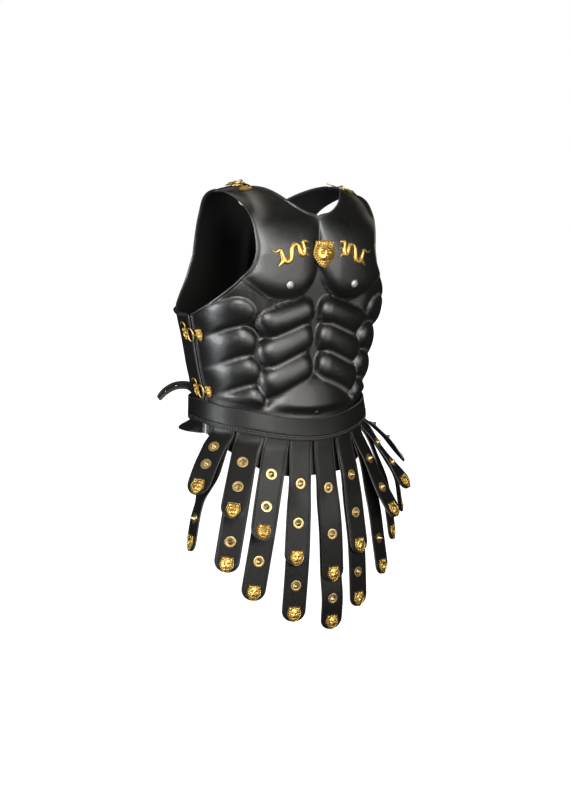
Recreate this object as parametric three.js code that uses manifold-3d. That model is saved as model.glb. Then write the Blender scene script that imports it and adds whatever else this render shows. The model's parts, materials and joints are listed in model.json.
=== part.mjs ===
// Muscle cuirass: moulded breastplate and backplate, waist belt, and an apron of studded straps.
// Millimetres. +Z is up, the wearer's front faces -Y, the wearer's left is +X, z = 0 lies on the shoulders.
// A place on the body is an angle round the z axis (0 = front, 90 = the wearer's left, 180 = back) and a level.
import * as THREE from "three";
import { mergeVertices } from "three/addons/utils/BufferGeometryUtils.js";
import Module from "manifold-3d";

const wasm = await Module();
wasm.setup();
const { Manifold, Mesh } = wasm;

// ---------------------------------------------------------------- driving sizes
const WALL = 3.2; // moulded leather of both plates
const GAP = 0.3; // air between two pieces that touch
const LIP = { rise: 1.3, width: 4, fade: 6 }; // raised border round every plate
const SIDE_SEAM = { front: 84.3, back: 85.3 }; // angles of the two plate edges at the flank

const BELT = { height: 38.5, thick: 3.2, offset: 2.3, overStraps: 8, flat: 0.3, ends: 152 };
const TONGUE = { width: 20, thick: 3, hole: 2.5, twist: 55 };
const STRIP = { width: 43, thick: 2.2, tuck: 9, tip: 14, seat: 2.1 };
const STUD = { radius: 9.5, rim: 1.4, cone: 5, height: 7.5 };
const PLAQUE = { width: 27, height: 29, relief: 5 };
const BOSS = { width: 46, height: 47, relief: 9 };
const NIPPLE = { radius: 7.2, height: 4 };
const CLASP = { width: 17, height: 24, relief: 5, reach: 15.5, ringWidth: 7.5, ringHeight: 11.5, wire: 1.3,
  hook: 1.1 };

// Level sections of the body: half width, depth in front of and behind the axis, and how square each half is.
const SECTIONS = [
  { z: -500, halfWidth: 182, front: 123, back: 124, frontSquare: 2.15, backSquare: 2.2 },
  { z: -440, halfWidth: 170, front: 118, back: 114, frontSquare: 2.15, backSquare: 2.2 },
  { z: -400, halfWidth: 165, front: 115, back: 107, frontSquare: 2.15, backSquare: 2.2 },
  { z: -355, halfWidth: 167, front: 111.5, back: 105, frontSquare: 2.3, backSquare: 2.2 },
  { z: -297, halfWidth: 180, front: 110.5, back: 102, frontSquare: 2.4, backSquare: 2.2 },
  { z: -254, halfWidth: 188, front: 112, back: 105, frontSquare: 2.5, backSquare: 2.2 },
  { z: -215, halfWidth: 197, front: 115.5, back: 108, frontSquare: 2.7, backSquare: 2.2 },
  { z: -160, halfWidth: 205, front: 121, back: 102, frontSquare: 3.0, backSquare: 2.15 },
  { z: -114, halfWidth: 206, front: 124, back: 93, frontSquare: 3.0, backSquare: 2.1 },
];
// Above this level the sections close over the shoulders like a dome with a level ridge.
const DOME = { level: -114, span: 180, rise: 128, halfWidth: 172, ridgeY: -25, frontRound: 2.15, backRound: 2, fall: 21,
  collar: 7 };
const CREST = DOME.level + DOME.span; // a level past the crest comes down the front again

// ---------------------------------------------------------------- small numeric helpers
const radians = THREE.MathUtils.degToRad;
const degrees = THREE.MathUtils.radToDeg;
const clamp = THREE.MathUtils.clamp;
const lerp = THREE.MathUtils.lerp;
const ramp = (x, from, to) => THREE.MathUtils.smoothstep((x - from) / (to - from), 0, 1);
const range = (n) => Array.from({ length: n }, (_, i) => i);
const V = (x, y, z) => new THREE.Vector3(x, y, z);

/** A curve through (xs, ys) that never overshoots (monotone cubic), held level outside the table. */
function smooth(xs, ys) {
  const steps = range(xs.length - 1).map((i) => (ys[i + 1] - ys[i]) / (xs[i + 1] - xs[i]));
  const slopes = xs.map((_, i) => {
    const before = steps[i - 1];
    const after = steps[i];
    if (before === undefined) return after;
    if (after === undefined) return before;
    return before * after <= 0 ? 0 : (2 * before * after) / (before + after);
  });
  return (x) => {
    const at = clamp(x, xs[0], xs[xs.length - 1]);
    const i = clamp(xs.findLastIndex((v) => v <= at), 0, xs.length - 2);
    const h = xs[i + 1] - xs[i];
    const t = (at - xs[i]) / h;
    const s = 1 - t;
    return (
      s * s * (1 + 2 * t) * ys[i] + t * t * (1 + 2 * s) * ys[i + 1] +
      h * t * s * (s * slopes[i] - t * slopes[i + 1])
    );
  };
}

/** One smooth curve per named column of a table, all against the column `key`. */
function columns(table, key) {
  const names = Object.keys(table[0]).filter((name) => name !== key);
  return Object.fromEntries(
    names.map((name) => [name, smooth(table.map((row) => row[key]), table.map((row) => row[name]))]),
  );
}

// ---------------------------------------------------------------- the body's surface
const sectionAt = columns(SECTIONS, "z");

/** A point of the plain body surface, without muscles. */
function torso(angle, level) {
  const turn = radians(angle);
  if (level > CREST) {
    const x = sectionPoint(turn, CREST).x;
    const depth = sectionAt.front(DOME.level);
    const square = sectionAt.frontSquare(DOME.level);
    const y = depth * (1 - Math.min(Math.abs(x) / DOME.halfWidth, 1) ** square) ** (1 / square);
    return sectionPoint(Math.atan2(x, y), 2 * CREST - level);
  }
  return sectionPoint(turn, level);
}

function sectionPoint(turn, level) {
  const z = Math.min(level, DOME.level);
  const isFront = Math.cos(turn) > 0;
  const phi = (clamp((level - DOME.level) / DOME.span, 0, 1) * Math.PI) / 2;
  const halfWidth = lerp(DOME.halfWidth, sectionAt.halfWidth(z), Math.cos(phi));
  const front = sectionAt.front(z) + DOME.collar * ramp(level, DOME.level, DOME.level + 64);
  const depth = isFront ? front : sectionAt.back(z);
  const square = isFront ? sectionAt.frontSquare(z) : sectionAt.backSquare(z);
  const round = isFront ? DOME.frontRound : DOME.backRound;
  const reach =
    (Math.abs(Math.cos(turn) / depth) ** square + Math.abs(Math.sin(turn) / halfWidth) ** square) **
    (-1 / square);
  const across = Math.max(Math.cos(phi), 0) ** (2 / round);
  const up = Math.sin(phi) ** (2 / round);
  const x = reach * Math.sin(turn);
  const y = lerp(DOME.ridgeY, -reach * Math.cos(turn), across);
  const dome = DOME.level + DOME.rise * up - DOME.fall * (x / 150) ** 2 * up * up;
  return V(x, y, level > DOME.level ? dome : level);
}

/** Position, outward normal, sideways and upward directions of a surface at a place. */
function frameOn(surface, angle, level, lift = 0) {
  const h = 0.05;
  const side = surface(angle + h, level).sub(surface(angle - h, level)).normalize();
  const rise = surface(angle, level + h).sub(surface(angle, level - h));
  const out = side.clone().cross(rise).normalize();
  const origin = surface(angle, level);
  const inside = V(origin.x * 0.6, -15, Math.min(origin.z, DOME.level) - 20);
  if (out.dot(origin.clone().sub(inside)) < 0) out.negate();
  const up = out.clone().cross(side).normalize();
  return { origin: origin.addScaledVector(out, lift), out, side, up };
}

/** Distance round the body from the centre front, measured at the waist, and its inverse. */
const girth = (angle) => 150 * radians(angle) - 15 * Math.sin(2 * radians(angle));
const ANGLES = range(121).map((i) => i - 60).map((i) => i * 2);
const angleOf = smooth(ANGLES.map(girth), ANGLES);

// ---------------------------------------------------------------- edges
const HEM_FRONT = [
  { angle: 0, z: -492 },
  { angle: 25, z: -490 },
  { angle: 45, z: -478 },
  { angle: 57, z: -460 },
  { angle: 66, z: -446 },
  { angle: 79, z: -425 },
  { angle: 90, z: -408 },
];
const HEM_BACK = [
  { angle: 80, z: -416 },
  { angle: 90, z: -419 },
  { angle: 100, z: -420.5 },
  { angle: 115, z: -420 },
  { angle: 130, z: -418 },
  { angle: 180, z: -416 },
];
const hemFront = columns(HEM_FRONT, "angle").z;
const hemBack = columns(HEM_BACK, "angle").z;
// Each plate half is a four-sided patch. `at` runs from 0 at the hem to 1 at the shoulder seam.
const FRONT_CENTRE = [
  { at: 0, angle: 0, level: -492 },
  { at: 0.82, angle: 0, level: -55.9 }, // neck notch
  { at: 0.857, angle: 10.8, level: -48.6 },
  { at: 0.899, angle: 21, level: -30.6 },
  { at: 0.94, angle: 27.8, level: -6.3 },
  { at: 0.977, angle: 32.8, level: 15 },
  { at: 1, angle: 37.3, level: 27.5 },
];
const FRONT_SIDE = [
  { at: 0, angle: SIDE_SEAM.front, level: hemFront(SIDE_SEAM.front) },
  { at: 0.45, angle: SIDE_SEAM.front, level: -214 }, // lowest point of the armhole
  { at: 0.496, angle: 80.6, level: -208.5 },
  { at: 0.559, angle: 72.5, level: -195 },
  { at: 0.623, angle: 63.3, level: -174 },
  { at: 0.686, angle: 55.4, level: -149 },
  { at: 0.735, angle: 50.3, level: -126 },
  { at: 0.781, angle: 48.7, level: -102.4 },
  { at: 0.837, angle: 48.8, level: -71.8 },
  { at: 0.891, angle: 50.4, level: -37 },
  { at: 0.939, angle: 53.2, level: -4.5 },
  { at: 1, angle: 57.5, level: 42.2 },
];
const BACK_CENTRE = [
  { at: 0, angle: 180, level: -416 },
  { at: 0.74, angle: 180, level: -36.6 }, // middle of the back neckline
  { at: 0.79, angle: 159.1, level: -26.5 },
  { at: 0.84, angle: 144.1, level: 2.4 },
  { at: 0.89, angle: 135.8, level: 33.1 },
  { at: 0.94, angle: 132, level: 60.6 },
  { at: 1, angle: 130.5, level: 101.5 },
];
const BACK_SIDE = [
  { at: 0, angle: SIDE_SEAM.back, level: hemBack(SIDE_SEAM.back) },
  { at: 0.42, angle: SIDE_SEAM.back, level: -214.5 },
  { at: 0.484, angle: 98.8, level: -213 },
  { at: 0.545, angle: 107.7, level: -200 },
  { at: 0.606, angle: 114.6, level: -177 },
  { at: 0.66, angle: 118.3, level: -150 },
  { at: 0.715, angle: 119.5, level: -120 },
  { at: 0.78, angle: 120.5, level: -84.1 },
  { at: 0.85, angle: 119.2, level: -44.3 },
  { at: 0.925, angle: 113, level: 10.9 },
  { at: 0.965, angle: 109.4, level: 43.8 },
  { at: 1, angle: 107, level: 87 },
];
const BACK_FOLD = 0.04; // where the flange of the backplate turns out, just under the belt
/** Upper edge of the belt: level round the back and flanks, dipping at the front. */
const beltTop = (angle) => -358 - 36 * Math.max(Math.cos(radians(angle)), 0) ** 1.2;
const beltBottom = (angle) => beltTop(angle) - BELT.height;

// ---------------------------------------------------------------- muscles
// Pillow-shaped muscles of one half: centre line from (w1, z1) to (w2, z2), w = girth from the centre.
const PILLOWS = [
  { w1: 20, z1: -208, w2: 84, z2: -228, radius: 25, rise: 8 }, // abdominals
  { w1: 20, z1: -251, w2: 84, z2: -277, radius: 27.5, rise: 8 },
  { w1: 20, z1: -301, w2: 82, z2: -326, radius: 28, rise: 8 },
  { w1: 140, z1: -208, w2: 215, z2: -232, radius: 24, rise: 7 }, // flank
  { w1: 140, z1: -259, w2: 213, z2: -284, radius: 27, rise: 7 },
  { w1: 135, z1: -308, w2: 212, z2: -333, radius: 27, rise: 7 },
  { w1: 128, z1: -358, w2: 212, z2: -382, radius: 27, rise: 7 },
];
const SINK = 8; // how far the flat leather between the muscles lies below the plain body
const GROOVE = 34; // half width over which the abdominals round off to the centre line
const BELLY = { z: -405, halfWidth: 112, halfHeight: 88, rise: 8.5 };
const PECTORAL = { rise: 9, edge: 34, sternum: 44, armFade: 50, fadeFrom: -40, fadeTo: -115 };
const PECTORAL_EDGE = [
  { w: 0, z: -139 },
  { w: 6, z: -152 },
  { w: 12, z: -163 },
  { w: 20, z: -173 },
  { w: 30, z: -181 },
  { w: 42, z: -187.5 },
  { w: 55, z: -190.5 },
  { w: 68, z: -191.5 },
  { w: 79, z: -191 },
  { w: 95, z: -185 },
  { w: 105, z: -178 },
  { w: 117, z: -167 },
  { w: 126, z: -158 },
  { w: 150, z: -132 },
];
const ARM_EDGE = [
  { z: -208, w: 207 },
  { z: -195, w: 181 },
  { z: -174, w: 154 },
  { z: -149, w: 131 },
  { z: -126, w: 117 },
  { z: -102, w: 112.6 },
  { z: -72, w: 113 },
  { z: -37, w: 117 },
  { z: 0, w: 126 },
];
const pectoralEdge = columns(PECTORAL_EDGE, "w").z;
const armEdge = columns(ARM_EDGE, "z").w;
const roundOff = (t) => Math.sqrt(Math.max(0, 1 - (1 - clamp(t, 0, 1)) ** 2));

/** Depth of the flat leather between the muscles, which ends short of the plate's edges. */
const sunk = (w, z) =>
  SINK * lerp(ramp(w, 212, 155), ramp(w, 112, 75), ramp(z, -245, -205)) * lerp(1, 0.45, ramp(z, -100, -50));

/** Height of the moulded muscles over the plain body, on the front. */
function frontMuscle(angle, z) {
  const w = Math.abs(girth(angle));
  const base = sunk(w, z);
  const dome = (rise, share) => (rise + base) * share - base;
  const heights = PILLOWS.map((m) => {
    const [dw, dz] = [m.w2 - m.w1, m.z2 - m.z1];
    const t = clamp(((w - m.w1) * dw + (z - m.z1) * dz) / (dw * dw + dz * dz), 0, 1);
    const away = Math.hypot(w - m.w1 - t * dw, z - m.z1 - t * dz) / m.radius;
    return dome(m.rise, Math.sqrt(Math.max(0, 1 - away * away)) * roundOff(w / GROOVE));
  });
  const belly = Math.hypot(w / BELLY.halfWidth, (z - BELLY.z) / BELLY.halfHeight);
  heights.push(dome(BELLY.rise, Math.sqrt(Math.max(0, 1 - belly * belly))));
  const over = z - pectoralEdge(w);
  const outer = lerp(0.25, 1, roundOff((armEdge(z) - w) / PECTORAL.armFade));
  const top = PECTORAL.rise * ramp(z, PECTORAL.fadeFrom, PECTORAL.fadeTo) * outer;
  if (over > 0) heights.push(dome(top, roundOff(over / PECTORAL.edge) * roundOff(w / PECTORAL.sternum)));
  const overBelt = ramp(z, beltTop(angle) + 5, beltTop(angle) + 22);
  return Math.max(...heights) * overBelt * ramp(w, 214, 152);
}

/** Shallow shoulder blades and spine, and the flange that stands out below the belt at the back. */
function backMuscle(angle, z) {
  const w = Math.abs(girth(180 - angle));
  const blade = 5 * Math.exp(-(((w - 62) / 42) ** 2) - ((z + 130) / 58) ** 2);
  const spine = -3 * Math.exp(-((w / 13) ** 2)) * ramp(z, -400, -350) * ramp(z, -50, -90);
  const flange = 22 * clamp((-400 - z) / 18, 0, 1) * ramp(Math.abs(180 - angle), 92, 72);
  return blade + spine + flange;
}

function raised(muscle) {
  return (angle, level) => {
    const { origin, out } = frameOn(torso, angle, level);
    return origin.addScaledVector(out, muscle(angle, origin.z));
  };
}
const frontSkin = raised(frontMuscle);
const backSkin = raised(backMuscle);

// ---------------------------------------------------------------- closed surfaces
const quad = (faces, a, b, c, d) => faces.push(a, b, c, a, c, d);

/** A closed body from a list of triangle corners, turned so that it faces out. */
function body(corners) {
  const loose = new THREE.BufferGeometry().setFromPoints(corners);
  const geometry = mergeVertices(loose, 1e-4);
  const index = geometry.index.array;
  const p = geometry.attributes.position;
  const at = (i) => V(p.getX(i), p.getY(i), p.getZ(i));
  let volume = 0;
  for (let i = 0; i < index.length; i += 3)
    volume += at(index[i]).dot(at(index[i + 1]).cross(at(index[i + 2])));
  if (volume < 0)
    for (let i = 0; i < index.length; i += 3)
      [index[i + 1], index[i + 2]] = [index[i + 2], index[i + 1]];
  return geometry;
}

/** A body skinned over rings of points; the ends are closed by fans unless the rings form a loop. */
function sweep(rings, isLoop = false) {
  const faces = [];
  const n = rings[0].length;
  for (const i of range(rings.length - (isLoop ? 0 : 1))) {
    const a = rings[i];
    const b = rings[(i + 1) % rings.length];
    for (const k of range(n)) quad(faces, a[k], a[(k + 1) % n], b[(k + 1) % n], b[k]);
  }
  if (!isLoop)
    for (const k of range(n - 2).map((i) => i + 1)) {
      const [first, last] = [rings[0], rings[rings.length - 1]];
      faces.push(first[0], first[k + 1], first[k], last[0], last[k], last[k + 1]);
    }
  return body(faces);
}

/** A round wire of `sides` sides along a path of points. */
function wire(path, radius, sides = 4, isLoop = false) {
  const n = path.length;
  const rings = path.map((p, i) => {
    const before = path[isLoop ? (i + n - 1) % n : Math.max(i - 1, 0)];
    const after = path[isLoop ? (i + 1) % n : Math.min(i + 1, n - 1)];
    const along = after.clone().sub(before).normalize();
    const a = V(0.31, 0.17, 0.93).cross(along).normalize();
    const b = along.clone().cross(a);
    return range(sides).map((k) => {
      const turn = (2 * Math.PI * k) / sides;
      return p.clone().addScaledVector(a, radius * Math.cos(turn)).addScaledVector(b, radius * Math.sin(turn));
    });
  });
  return sweep(rings, isLoop);
}

/** A surface of revolution round local z from a profile of [radius, z], closed on the axis at both ends. */
function turned(profile, sides) {
  const faces = [];
  const ring = ([r, z]) => range(sides).map((k) => {
    const turn = (2 * Math.PI * k) / sides;
    return V(r * Math.cos(turn), r * Math.sin(turn), z);
  });
  const rings = profile.map(ring);
  for (const i of range(rings.length - 1))
    for (const k of range(sides)) {
      const next = (k + 1) % sides;
      const [a, b, c, d] = [rings[i][k], rings[i][next], rings[i + 1][next], rings[i + 1][k]];
      if (profile[i][0] > 0) faces.push(a, b, c);
      if (profile[i + 1][0] > 0) faces.push(a, c, d);
      if (profile[i][0] === 0 && profile[i + 1][0] > 0) faces.push(a, c, d);
    }
  return body(dropEmpty(faces));
}

/** Leaves out triangles that have shrunk to a line and repeats. */
function dropEmpty(corners) {
  const kept = [];
  const seen = new Set();
  for (let i = 0; i < corners.length; i += 3) {
    const [a, b, c] = corners.slice(i, i + 3);
    const area = b.clone().sub(a).cross(c.clone().sub(a)).length();
    const key = [a, b, c].map((p) => p.toArray().map((v) => v.toFixed(5)).join()).sort().join("|");
    if (area > 1e-7 && !seen.has(key)) kept.push(a, b, c);
    seen.add(key);
  }
  return kept;
}

const toManifold = (geometry) =>
  new Manifold(new Mesh({
    numProp: 3,
    vertProperties: new Float32Array(geometry.attributes.position.array),
    triVerts: new Uint32Array(geometry.index.array),
  }));

function fromManifold(solid) {
  const mesh = solid.getMesh();
  const geometry = new THREE.BufferGeometry();
  geometry.setAttribute("position", new THREE.BufferAttribute(new Float32Array(mesh.vertProperties), 3));
  geometry.setIndex([...mesh.triVerts]);
  return geometry;
}
const join = (...parts) => fromManifold(Manifold.union(parts.map(toManifold)));
const cut = (part, ...tools) => fromManifold(toManifold(part).subtract(Manifold.union(tools.map(toManifold))));

/** Moves a body made round the local origin (x = side, y = up, z = out) to a frame, turned about `out`. */
function placed(geometry, frame, turn = 0) {
  const basis = new THREE.Matrix4().makeBasis(frame.side, frame.up, frame.out).setPosition(frame.origin);
  const local = new THREE.Matrix4().makeRotationZ(radians(turn));
  const moved = geometry.clone().applyMatrix4(basis.multiply(local));
  return moved;
}

// ---------------------------------------------------------------- plates
/** Distances from an edge where the grid puts lines, so that the raised lip has its own facets. */
function linesAcross(length, count, hasStart) {
  const start = hasStart ? [0, LIP.width, LIP.fade] : [0];
  const end = [length - LIP.fade, length - LIP.width, length];
  const from = start[start.length - 1];
  const inner = range(count - 1).map((i) => lerp(from, end[0], (i + 1) / count));
  return [...start, ...inner, ...end].map((d) => d / length);
}

/** One plate, mirrored over the centre plane from a four-sided half. */
function plate({ centre, side, hem, skin, rows, cols, neckAt, creases = [] }) {
  const left = columns(centre, "at");
  const right = columns(side, "at");
  const corner = (edge, v) => ({ angle: edge.angle(v), level: edge.level(v) });
  const [a0, a1] = [corner(left, 0), corner(right, 0)];
  const height = 440;
  const vs = [...linesAcross(height, rows, true), ...creases].sort((a, b) => a - b);
  const neckRow = vs.findIndex((v) => v >= neckAt);
  vs[neckRow] = neckAt;
  const outer = vs.map((v) => {
    const [l, r] = [corner(left, v), corner(right, v)];
    const width = skin(l.angle, l.level).distanceTo(skin(r.angle, r.level)) * 1.06;
    return linesAcross(width, cols, true).map((u) => {
      const angle = lerp(l.angle, r.angle, u);
      const hemBend = (1 - v) * (1 - v) * (hem(lerp(a0.angle, a1.angle, u)) - lerp(a0.level, a1.level, u));
      const level = lerp(l.level, r.level, u) + hemBend;
      const isNear = (distance) => distance <= LIP.width + 0.01;
      const isCovered = level < beltTop(angle) + 2;
      const isOnLip =
        (!isCovered && isNear((1 - u) * width)) ||
        (v >= neckAt && isNear(u * width)) ||
        isNear((1 - v) * height);
      const plain = frameOn(torso, angle, level);
      const top = skin(angle, level).addScaledVector(plain.out, isOnLip ? LIP.rise : 0);
      const under = skin(angle, level).addScaledVector(plain.out, -WALL);
      if (u === 0 && v <= neckAt) {
        top.x = 0;
        under.x = 0;
      }
      return { top, under };
    });
  });
  const faces = [];
  const [last, width] = [outer.length - 1, outer[0].length - 1];
  for (const i of range(last))
    for (const j of range(width)) {
      const [a, b, c, d] = [outer[i][j], outer[i][j + 1], outer[i + 1][j + 1], outer[i + 1][j]];
      quad(faces, a.top, b.top, c.top, d.top);
      quad(faces, a.under, d.under, c.under, b.under);
    }
  const rim = (a, b) => quad(faces, a.top, a.under, b.under, b.top);
  for (const j of range(width)) {
    rim(outer[0][j], outer[0][j + 1]);
    rim(outer[last][j + 1], outer[last][j]);
  }
  for (const i of range(last)) {
    rim(outer[i][width], outer[i + 1][width]);
    if (i >= neckRow) rim(outer[i + 1][0], outer[i][0]);
  }
  const mirrored = [];
  for (let i = 0; i < faces.length; i += 3)
    for (const k of [0, 2, 1]) mirrored.push(V(-faces[i + k].x, faces[i + k].y, faces[i + k].z));
  return body([...faces, ...mirrored]);
}

function breastplate() {
  const shell = plate({
    centre: FRONT_CENTRE, side: FRONT_SIDE, hem: hemFront, skin: frontSkin, rows: 28, cols: 8, neckAt: 0.82,
  });
  const navel = turned([[0, -2], [4.5, -2], [4.5, 0.6], [3, 2.4], [0, 3]], 8);
  return join(shell, placed(navel, frameOn(frontSkin, 0, -385)));
}

const backplate = () =>
  plate({
    centre: BACK_CENTRE, side: BACK_SIDE, hem: hemBack, skin: backSkin, rows: 14, cols: 5, neckAt: 0.74,
    creases: [BACK_FOLD],
  });

// ---------------------------------------------------------------- belt
/** Cross-section of the belt at an angle: flat over the tucked strap ends, then leaning in to its top. */
function beltRing(angle) {
  const bottom = beltBottom(angle);
  const top = beltTop(angle);
  const point = (level, offset) => frameOn(torso, angle, level, offset).origin;
  const flat = lerp(bottom, top, BELT.flat);
  const low = lerp(BELT.overStraps, BELT.offset, ramp(Math.abs(angle), 94, 110));
  return [
    point(bottom, low),
    point(bottom, low + BELT.thick),
    point(flat, low + BELT.thick),
    point(top, BELT.offset + BELT.thick),
    point(top, BELT.offset),
    point(flat, low),
  ];
}

function belt() {
  const count = 44;
  return sweep(range(count + 1).map((i) => beltRing(lerp(-BELT.ends, BELT.ends, i / count))));
}

// The narrow strap that closes the belt at the back: over the belt's left end and through the buckle.
const TONGUE_SEAT = [
  { angle: 138, lift: 8.2 },
  { angle: 150, lift: 8.4 },
  { angle: 162, lift: 6 },
  { angle: 174, lift: 4.5 },
  { angle: 186, lift: 4.5 },
  { angle: 198, lift: 8 },
  { angle: 206.5, lift: 11.2 },
  { angle: 210, lift: 10.7 },
];
// Its free end leaves the body on the wearer's right and curls over.
const TONGUE_END = [
  { x: -67, y: 109.5, z: -379 },
  { x: -75, y: 107.7, z: -378 },
  { x: -85, y: 107, z: -374 },
  { x: -97, y: 115, z: -362 },
  { x: -109, y: 125, z: -352 },
  { x: -128, y: 137, z: -352 },
  { x: -144, y: 148, z: -362 },
  { x: -154, y: 156, z: -376 },
];
const BUCKLE = { angle: -150, level: -379, wire: 1.6, hole: 3.6 };

/** A board of constant thickness along a path, upright on the body, twisted after it, narrower at its end. */
function flatStrap(points, width, thick) {
  const last = points.length - 1;
  const rings = points.map((p, i) => {
    const { side, up } = strapFrame(points, i);
    const half = (width / 2) * (i === last ? 0.55 : 1);
    const corner = (s, t) => p.clone().addScaledVector(up, s * half).addScaledVector(side, (t * thick) / 2);
    return [corner(-1, -1), corner(1, -1), corner(1, 1), corner(-1, 1)];
  });
  return sweep(rings);
}

function strapFrame(points, i) {
  const last = points.length - 1;
  const along = points[Math.min(i + 1, last)].clone().sub(points[Math.max(i - 1, 0)]).normalize();
  const twist = radians(TONGUE.twist) * ramp(i, TONGUE_SEAT.length + 0.5, TONGUE_SEAT.length + 4.5);
  const side = V(0, 0, 1).cross(along).normalize().applyAxisAngle(along, twist);
  return { side, up: along.clone().cross(side).normalize(), along };
}

function beltTongue() {
  const seat = TONGUE_SEAT.map((p) => frameOn(torso, p.angle, BUCKLE.level, p.lift).origin);
  const end = TONGUE_END.map((p) => V(p.x, p.y, p.z));
  const points = [...seat, ...end];
  const punch = (i, radius) => {
    const { side, up, along } = strapFrame(points, i);
    const tool = turned([[0, -6], [radius, -6], [radius, 6], [0, 6]], 6);
    return placed(tool, { origin: points[i], side: along, up, out: side.negate() });
  };
  const holes = [13, 14].map((i) => punch(i, TONGUE.hole));
  return cut(flatStrap(points, TONGUE.width, TONGUE.thick), punch(7, BUCKLE.hole), ...holes);
}

/** Brass buckle: a plate on the belt's right end, a frame round the strap, and a prong through its hole. */
function backBuckle() {
  const { origin, out, side } = frameOn(torso, BUCKLE.angle, BUCKLE.level);
  const at = (toBack, up, lift) =>
    origin.clone().addScaledVector(side, -toBack).addScaledVector(out, lift).add(V(0, 0, up));
  const frame = { origin: at(0, 0, 0), out, side: side.clone().negate(), up: V(0, 0, -1) };
  const base = placed(new THREE.BoxGeometry(12, 24, 1.2).translate(2, 0, 6.8), frame);
  const loop = [at(6, -18, 7.7), at(-14, -18, 15), at(-14, 18, 15), at(6, 18, 7.7)];
  const prong = [at(6, 0, 7.8), at(2.4, 0, 8.3), at(-1.6, 0, 14), at(-15, 0, 16.8)];
  return join(body(looseCorners(base)), wire(loop, BUCKLE.wire, 6, true), wire(prong, 1.1, 4));
}

/** Corners of every triangle of an indexed geometry, without its normals and texture coordinates. */
function looseCorners(geometry) {
  const p = geometry.toNonIndexed().attributes.position;
  return range(p.count).map((i) => V(p.getX(i), p.getY(i), p.getZ(i)));
}

// ---------------------------------------------------------------- ornaments
// Outline of a lion's head: turn from the crown and reach as a fraction of the half size.
const LION_OUTLINE = [
  { turn: 0, reach: 0.9 },
  { turn: 36, reach: 1.04 }, // ear
  { turn: 84, reach: 0.96 },
  { turn: 138, reach: 0.92 },
  { turn: 180, reach: 1 }, // chin
  { turn: 222, reach: 0.92 },
  { turn: 276, reach: 0.96 },
  { turn: 324, reach: 1.04 },
];

/** A cast lion mask, flat behind: border, mane, and a muzzle below the middle. */
function lionMask({ width, height, relief }) {
  const ring = (scale, z, drop = 0) =>
    LION_OUTLINE.map(({ turn, reach }) => {
      const t = radians(turn);
      return V(0.5 * width * reach * scale * Math.sin(t), 0.5 * height * (reach * scale * Math.cos(t) - drop), z);
    });
  const rings = [ring(1, 0), ring(1, 0.24 * relief), ring(0.72, 0.74 * relief, 0.02)];
  const nose = V(0, -0.08 * height, relief);
  const faces = [];
  const n = LION_OUTLINE.length;
  for (const i of range(rings.length - 1))
    for (const k of range(n))
      quad(faces, rings[i][k], rings[i][(k + 1) % n], rings[i + 1][(k + 1) % n], rings[i + 1][k]);
  for (const k of range(n)) {
    faces.push(rings[0][0], rings[0][(k + 1) % n], rings[0][k]);
    faces.push(rings[2][k], rings[2][(k + 1) % n], nose);
  }
  return body(dropEmpty(faces));
}

/** The chest boss: the same head with ears, mane, brow and muzzle as steps. */
function lionBoss() {
  const { width, height, relief } = BOSS;
  const count = 20;
  const ring = (scale, z, drop, wave) =>
    range(count).map((k) => {
      const t = (2 * Math.PI * k) / count;
      const ear = 0.1 * Math.exp(-(((Math.abs(t > Math.PI ? 2 * Math.PI - t : t) - 0.62) / 0.2) ** 2));
      const reach = scale * (0.92 + ear + (k % 2 ? wave : -wave));
      return V(0.5 * width * reach * Math.sin(t), 0.5 * height * (reach * Math.cos(t) - drop), z);
    });
  const rings = [
    ring(1, 0, 0, 0.02),
    ring(1, 0.2 * relief, 0, 0.02),
    ring(0.74, 0.5 * relief, 0.02, 0.03),
    ring(0.5, 0.72 * relief, 0.04, 0),
    ring(0.24, 0.98 * relief, 0.22, 0),
  ];
  const faces = [];
  for (const i of range(rings.length - 1))
    for (const k of range(count))
      quad(faces, rings[i][k], rings[i][(k + 1) % count], rings[i + 1][(k + 1) % count], rings[i + 1][k]);
  const [floor, muzzle] = [V(0, 0, 0), V(0, -0.11 * height, relief)];
  for (const k of range(count)) {
    faces.push(floor, rings[0][(k + 1) % count], rings[0][k]);
    faces.push(rings[4][k], rings[4][(k + 1) % count], muzzle);
  }
  return placed(body(faces), { ...frameOn(torso, 0, -113), ...bossSeat() });
}

/** The boss rests on the inner borders of both pectorals. */
function bossSeat() {
  const touch = Math.max(...[4, 7, 10].map((angle) => -frontSkin(angle, -113).y));
  return { origin: V(0, -touch - GAP - 0.3, -112), out: V(0, -1, 0), side: V(1, 0, 0), up: V(0, 0, 1) };
}

// Right-hand serpent from tail to beak: girth from the centre, height, half width of the body.
const SERPENT = [
  { w: -93, z: -107, half: 0.8 },
  { w: -87, z: -111, half: 1.8 },
  { w: -81, z: -106.5, half: 2.2 },
  { w: -78, z: -114, half: 2.6 },
  { w: -76, z: -122, half: 3 },
  { w: -71, z: -126, half: 3.2 },
  { w: -65, z: -123, half: 3.2 },
  { w: -63, z: -115, half: 3.2 },
  { w: -63, z: -104, half: 3.2 },
  { w: -59, z: -98, half: 3 },
  { w: -53, z: -97, half: 3 },
  { w: -50, z: -103, half: 3.4 },
  { w: -48, z: -111, half: 4 },
  { w: -43, z: -114, half: 4.2 },
  { w: -40.5, z: -107, half: 3.6 },
  { w: -42, z: -98, half: 2.8 },
  { w: -42.5, z: -92.5, half: 2.6 },
  { w: -37, z: -92, half: 2.2 },
  { w: -32, z: -94, half: 0.7 },
];
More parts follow.
